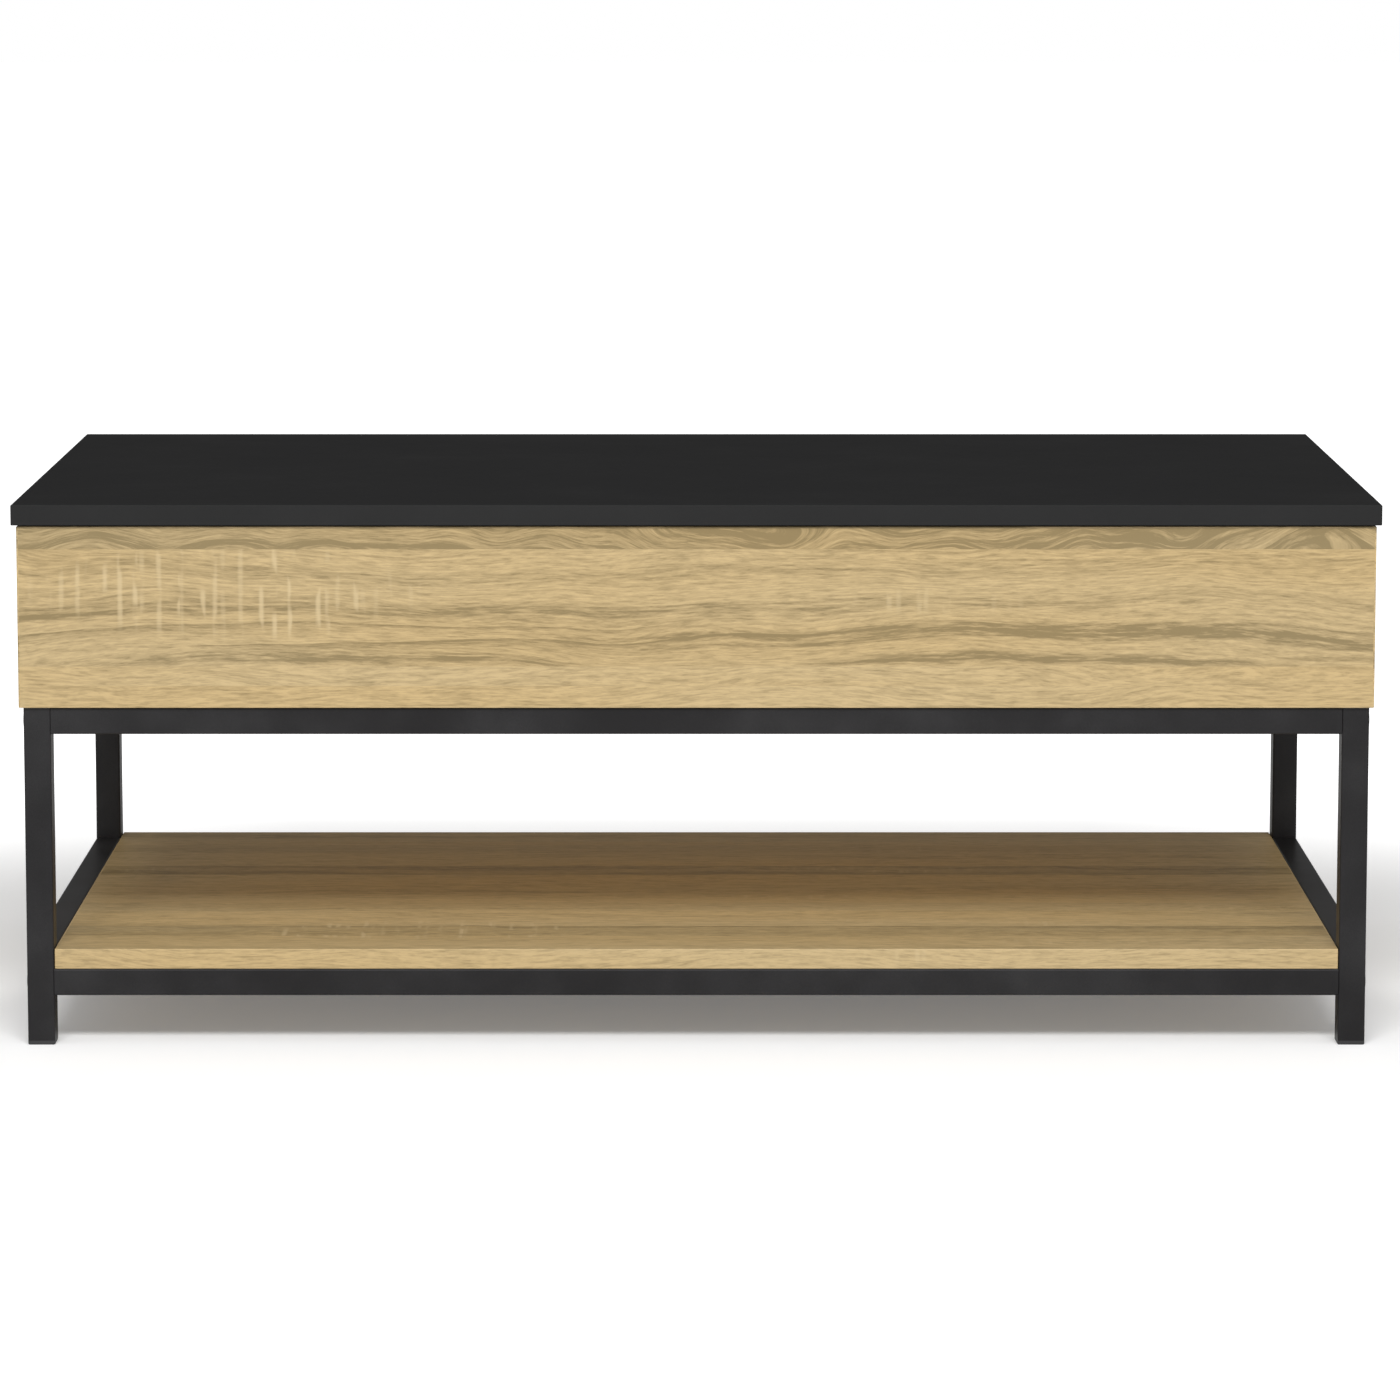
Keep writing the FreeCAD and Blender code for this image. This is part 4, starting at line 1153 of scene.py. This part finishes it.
class TABLE_OT_fasteners(bpy.types.Operator):
    """Drive the frame bolts and every wood screw"""

    bl_idname = "table.fasteners"
    bl_label = "Bolts and screws"

    def execute(self, context):
        places, radius, length = crosswise("frame_bolts", sunk=BOLT_HEAD)
        bolt = socket_bolt(radius, BOLT_HEAD, BOLT_SHANK, length)
        bolts = spread("frame_bolt_set", bolt, places)
        paint(bolts, finish("black oxide"))
        hand_in(bolts, "base", ["frame_bolts"])

        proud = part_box("bolt_caps")[1].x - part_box("front_right_leg")[1].x
        places, radius, depth = crosswise("bolt_caps", sunk=proud)
        caps = spread("hole_cap_set", hole_cap(radius, 0.5 * proud, depth), places)
        paint(caps, finish("plastic"))
        hand_in(caps, "base", ["bolt_caps"])

        seats = {
            "shelf_screws": ("base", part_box("shelf_screws")[0].z + SHELF_SCREW_HEAD),
            "box_fixing_screws": ("base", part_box("box_mounting_tabs")[0].z),
            "top_bracket_screws": ("top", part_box("lift_top")[0].z - PAN_HEAD),
        }
        for node, (body, seat) in seats.items():
            solids = solids_of(node)
            low, high = solids[0]
            middles = [middle_of(*corners) for corners in solids]
            places = [((middle.x, middle.y, seat), -Z_AXIS) for middle in middles]
            screw = pan_screw((high.x - low.x) / 2, seat - low.z, SCREW_SHANK, high.z - seat)
            screws = spread(f"{node}_set", screw, places)
            paint(screws, finish("zinc"))
            hand_in(screws, body, [node])

        places, radius, length = crosswise("bracket_screws", inward=True, gauge=2)
        screw = flat_screw(radius, FLAT_HEAD, SCREW_SHANK, length)
        screws = spread("bracket_screw_set", screw, places)
        paint(screws, finish("zinc"))
        hand_in(screws, "base", ["bracket_screws"])
        return {"FINISHED"}


class TABLE_OT_box_joints(bpy.types.Operator):
    """Fit the cam locks, their bolts and the dowels that hold the box together"""

    bl_idname = "table.box_joints"
    bl_label = "Cam locks and dowels"

    def execute(self, context):
        proud, ring, recess = 0.2 * MM, 1.2 * MM, 0.5 * MM
        places, radius, depth = crosswise("cam_housings", inward=True)
        cam = disc("cam", radius, -depth, proud)
        push_face(cam, ring, -recess)
        carve(cam, cross_cutter(reach=3.6 * MM, depth=3.0 * MM, top=proud))
        cams = spread("cam_lock_set", shade(cam), places)
        paint(cams, finish("cast zinc"))
        hand_in(cams, "base", ["cam_housings"])
        paint(NODES["cam_bolts"], finish("zinc"))
        paint(NODES["wood_dowels"], finish("beech"))
        return {"FINISHED"}


class TABLE_OT_brackets(bpy.types.Operator):
    """Press the brackets that carry the lift arms"""

    bl_idname = "table.brackets"
    bl_label = "Lift brackets"

    def execute(self, context):
        for side in SIDES:
            for body in ("base", "top"):
                node = f"{side}_{body}_bracket"
                dress(f"{node}_sheet", node, 0.3 * MM, 2, "dip coat", body)
        return {"FINISHED"}


class TABLE_OT_arms(bpy.types.Operator):
    """Cut the lift arms from flat bar"""

    bl_idname = "table.arms"
    bl_label = "Lift arms"

    def execute(self, context):
        for side in SIDES:
            for place in ENDS:
                node = f"{side}_{place}_arm"
                dress(f"{node}_bar", node, 0.5 * MM, 3, "dip coat", node)
        return {"FINISHED"}


class TABLE_OT_pivots(bpy.types.Operator):
    """Set the rivets, washers, pins and rubber stops of the lift"""

    bl_idname = "table.pivots"
    bl_label = "Pivots and stops"

    def execute(self, context):
        for side in SIDES:
            for body in ("base", "top"):
                for part, width in (("rivets", 0.35 * MM), ("washers", 0.15 * MM)):
                    node = f"{side}_{body}_{part}"
                    dress(f"{node}_set", node, width, 3, "zinc", body)
            dress(
                f"{side}_spring_pin", f"{side}_lever_pin", 0.4 * MM, 3,
                "zinc", f"{side}_front_arm",
            )
        dress(
            "fixed_spring_posts", "spring_posts", 0.4 * MM, 3, "zinc", "base"
        )
        dress("rubber_stops", "stop_pins", 0.6 * MM, 3, "rubber", "base")
        dress("felt_pads", "bumper_pads", 0.25 * MM, 2, "felt", "top")
        return {"FINISHED"}


def spring_route(start, end, coil_radius, eye_radius, eye_reach, turns):
    """Points along a tension spring's wire: an oval eye, the coil and the other eye."""
    run = end - start
    length = run.length
    ahead = run.normalized()
    side = X_AXIS
    up = ahead.cross(side)
    lead = eye_reach + 3 * MM

    def spot(along, rise, out):
        return start + ahead * along + up * rise + side * out

    points = []
    for step in range(19):
        angle = radians(60) + step * radians(300) / 18
        points.append(spot(eye_reach * cos(angle), eye_radius * sin(angle), 0))
    points.append(spot(lead - 1.6 * MM, coil_radius * 0.62, coil_radius * 0.12))
    steps = 16
    count = turns * steps
    for step in range(2, count - 1):
        angle = 2 * pi * step / steps
        along = lead + (length - 2 * lead) * step / count
        points.append(spot(along, coil_radius * cos(angle), coil_radius * sin(angle)))
    points.append(spot(length - lead + 1.6 * MM, coil_radius * 0.62, -coil_radius * 0.12))
    for step in range(19):
        angle = pi - step * radians(300) / 18
        points.append(spot(length + eye_reach * cos(angle), eye_radius * sin(angle), 0))
    return points


def round_wire(name, route, radius):
    """Round wire bent along a route of points."""
    deselect()
    bpy.ops.curve.primitive_nurbs_path_add()
    wire = bpy.context.active_object
    curve = wire.data
    curve.splines.clear()
    spline = curve.splines.new("NURBS")
    spline.points.add(len(route) - 1)
    for point, place in zip(spline.points, route):
        point.co = (*place, 1)
    spline.order_u = 4
    spline.use_endpoint_u = True
    spline.resolution_u = 2
    curve.bevel_depth = radius
    curve.bevel_resolution = 2
    curve.use_fill_caps = True
    wire.matrix_world = Matrix()
    pick(wire)
    bpy.ops.object.convert(target="MESH")
    wire = settle(bpy.context.active_object, name)
    bpy.ops.object.shade_smooth()
    return wire


class TABLE_OT_springs(bpy.types.Operator):
    """Wind the two lift springs and hook them on"""

    bl_idname = "table.springs"
    bl_label = "Lift springs"

    def execute(self, context):
        settings = context.scene.table_lift
        posts = {low.x > 0: middle_of(low, high) for low, high in solids_of("spring_posts")}
        for side, right in SIDES.items():
            node = f"{side}_spring"
            low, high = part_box(node)
            plane = middle_of(low, high).x
            post = posts[right > 0]
            pin = middle_of(*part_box(f"{side}_lever_pin"))
            start = Vector((plane, post.y, post.z))
            end = Vector((plane, pin.y, pin.z))
            coil_radius = (high.x - low.x) / 2 - settings.wire
            eye_radius = SPRING_EYE + settings.wire
            eye_reach = eye_radius / settings.keep
            route = spring_route(start, end, coil_radius, eye_radius, eye_reach, settings.turns)
            wire = round_wire(f"{side}_coil_spring", route, settings.wire)
            paint(wire, finish("spring wire"))
            hand_in(wire, node, [node])
            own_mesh(wire)
        return {"FINISHED"}


class TABLE_OT_stage(bpy.types.Operator):
    """Set the pale floor, the soft lights and the camera"""

    bl_idname = "table.stage"
    bl_label = "Stage"

    def execute(self, context):
        scene = context.scene
        settings = scene.table_stage
        deselect()
        bpy.ops.mesh.primitive_plane_add(size=40, location=(0, 0, 0))
        floor = settle(bpy.context.active_object, "studio_floor")
        paint(floor, finish("floor"))
        self.light_room(scene, settings)
        self.softbox("Key softbox", (0, -3.2, 2.90), (0, 0, 0.15), (3.2, 0.9), settings.key)
        # the oak above the shelf throws a little warm light back down on it
        warm = self.softbox("Warm bounce", (0, 0.03, 0.246), (0, 0.03, 0), (0.9, 0.3), 0.26)
        warm.data.color = (1.0, 0.72, 0.26)
        self.place_camera(scene, settings)
        scene.view_settings.view_transform = "Standard"
        return {"FINISHED"}

    def light_room(self, scene, settings):
        """A pale room: white to the camera, and lighter ahead of the table than behind."""
        world = bpy.data.worlds.new("Pale room")
        world.use_nodes = True
        scene.world = world
        recipe = Recipe(world.node_tree)
        background = world.node_tree.nodes["Background"]
        way = recipe.tree.nodes.new("ShaderNodeSeparateXYZ")
        recipe.feed(way.inputs[0], recipe.add("ShaderNodeTexCoord"))
        lit = recipe.band(way.outputs[1], -0.2, 0.7, settings.room_front, settings.room_back)
        seen = recipe.add("ShaderNodeLightPath")
        level = recipe.add("ShaderNodeMapRange", seen, 0.0, 1.0, lit, 1.0)
        background.inputs["Color"].default_value = (1, 1, 1, 1)
        recipe.feed(background.inputs["Strength"], level)

    def softbox(self, name, spot, target, size, power):
        deselect()
        aim = (Vector(target) - Vector(spot)).to_track_quat("-Z", "Y").to_euler()
        bpy.ops.object.light_add(type="AREA", location=spot, rotation=aim)
        lamp = bpy.context.active_object
        lamp.name = lamp.data.name = name
        lamp.data.shape = "RECTANGLE"
        lamp.data.size, lamp.data.size_y = size
        lamp.data.energy = power
        lamp.visible_camera = False
        return lamp

    def place_camera(self, scene, settings):
        deselect()
        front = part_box("lift_top")[0].y
        spot = (0, front - settings.distance, settings.height)
        aim = (pi / 2 - settings.tilt, 0, 0)
        bpy.ops.object.camera_add(location=spot, rotation=aim)
        camera = bpy.context.active_object
        camera.name = "Camera"
        camera.data.lens = settings.lens
        camera.data.shift_x, camera.data.shift_y = settings.shift
        scene.camera = camera


# ---------------------------------------------------------------- add-on

STEPS = (
    TABLE_OT_lift_top,
    TABLE_OT_box_panels,
    TABLE_OT_shelf,
    TABLE_OT_frame,
    TABLE_OT_glides,
    TABLE_OT_fasteners,
    TABLE_OT_box_joints,
    TABLE_OT_brackets,
    TABLE_OT_arms,
    TABLE_OT_pivots,
    TABLE_OT_springs,
    TABLE_OT_stage,
)


SETTINGS = {
    "table_boards": BoardSettings,
    "table_frame": FrameSettings,
    "table_lift": LiftSettings,
    "table_stage": StageSettings,
}


class TABLE_PT_sidebar(bpy.types.Panel):
    """The table's settings and steps"""

    bl_idname = "TABLE_PT_sidebar"
    bl_label = "Lift Top Coffee Table"
    bl_space_type = "VIEW_3D"
    bl_region_type = "UI"
    bl_category = "Coffee Table"

    def draw(self, context):
        for group in SETTINGS:
            box = self.layout.box()
            settings = getattr(context.scene, group)
            for name in settings.bl_rna.properties.keys():
                if name not in ("rna_type", "name"):
                    box.prop(settings, name)
        for step in STEPS:
            self.layout.operator(step.bl_idname)


def register():
    for name, group in SETTINGS.items():
        bpy.utils.register_class(group)
        setattr(bpy.types.Scene, name, bpy.props.PointerProperty(type=group))
    for step in STEPS:
        bpy.utils.register_class(step)
    bpy.utils.register_class(TABLE_PT_sidebar)


def unregister():
    bpy.utils.unregister_class(TABLE_PT_sidebar)
    for step in reversed(STEPS):
        bpy.utils.unregister_class(step)
    for name, group in SETTINGS.items():
        delattr(bpy.types.Scene, name)
        bpy.utils.unregister_class(group)


def main():
    register()
    for step in STEPS:
        family, name = step.bl_idname.split(".")
        getattr(getattr(bpy.ops, family), name)()


if __name__ == "__main__":
    main()
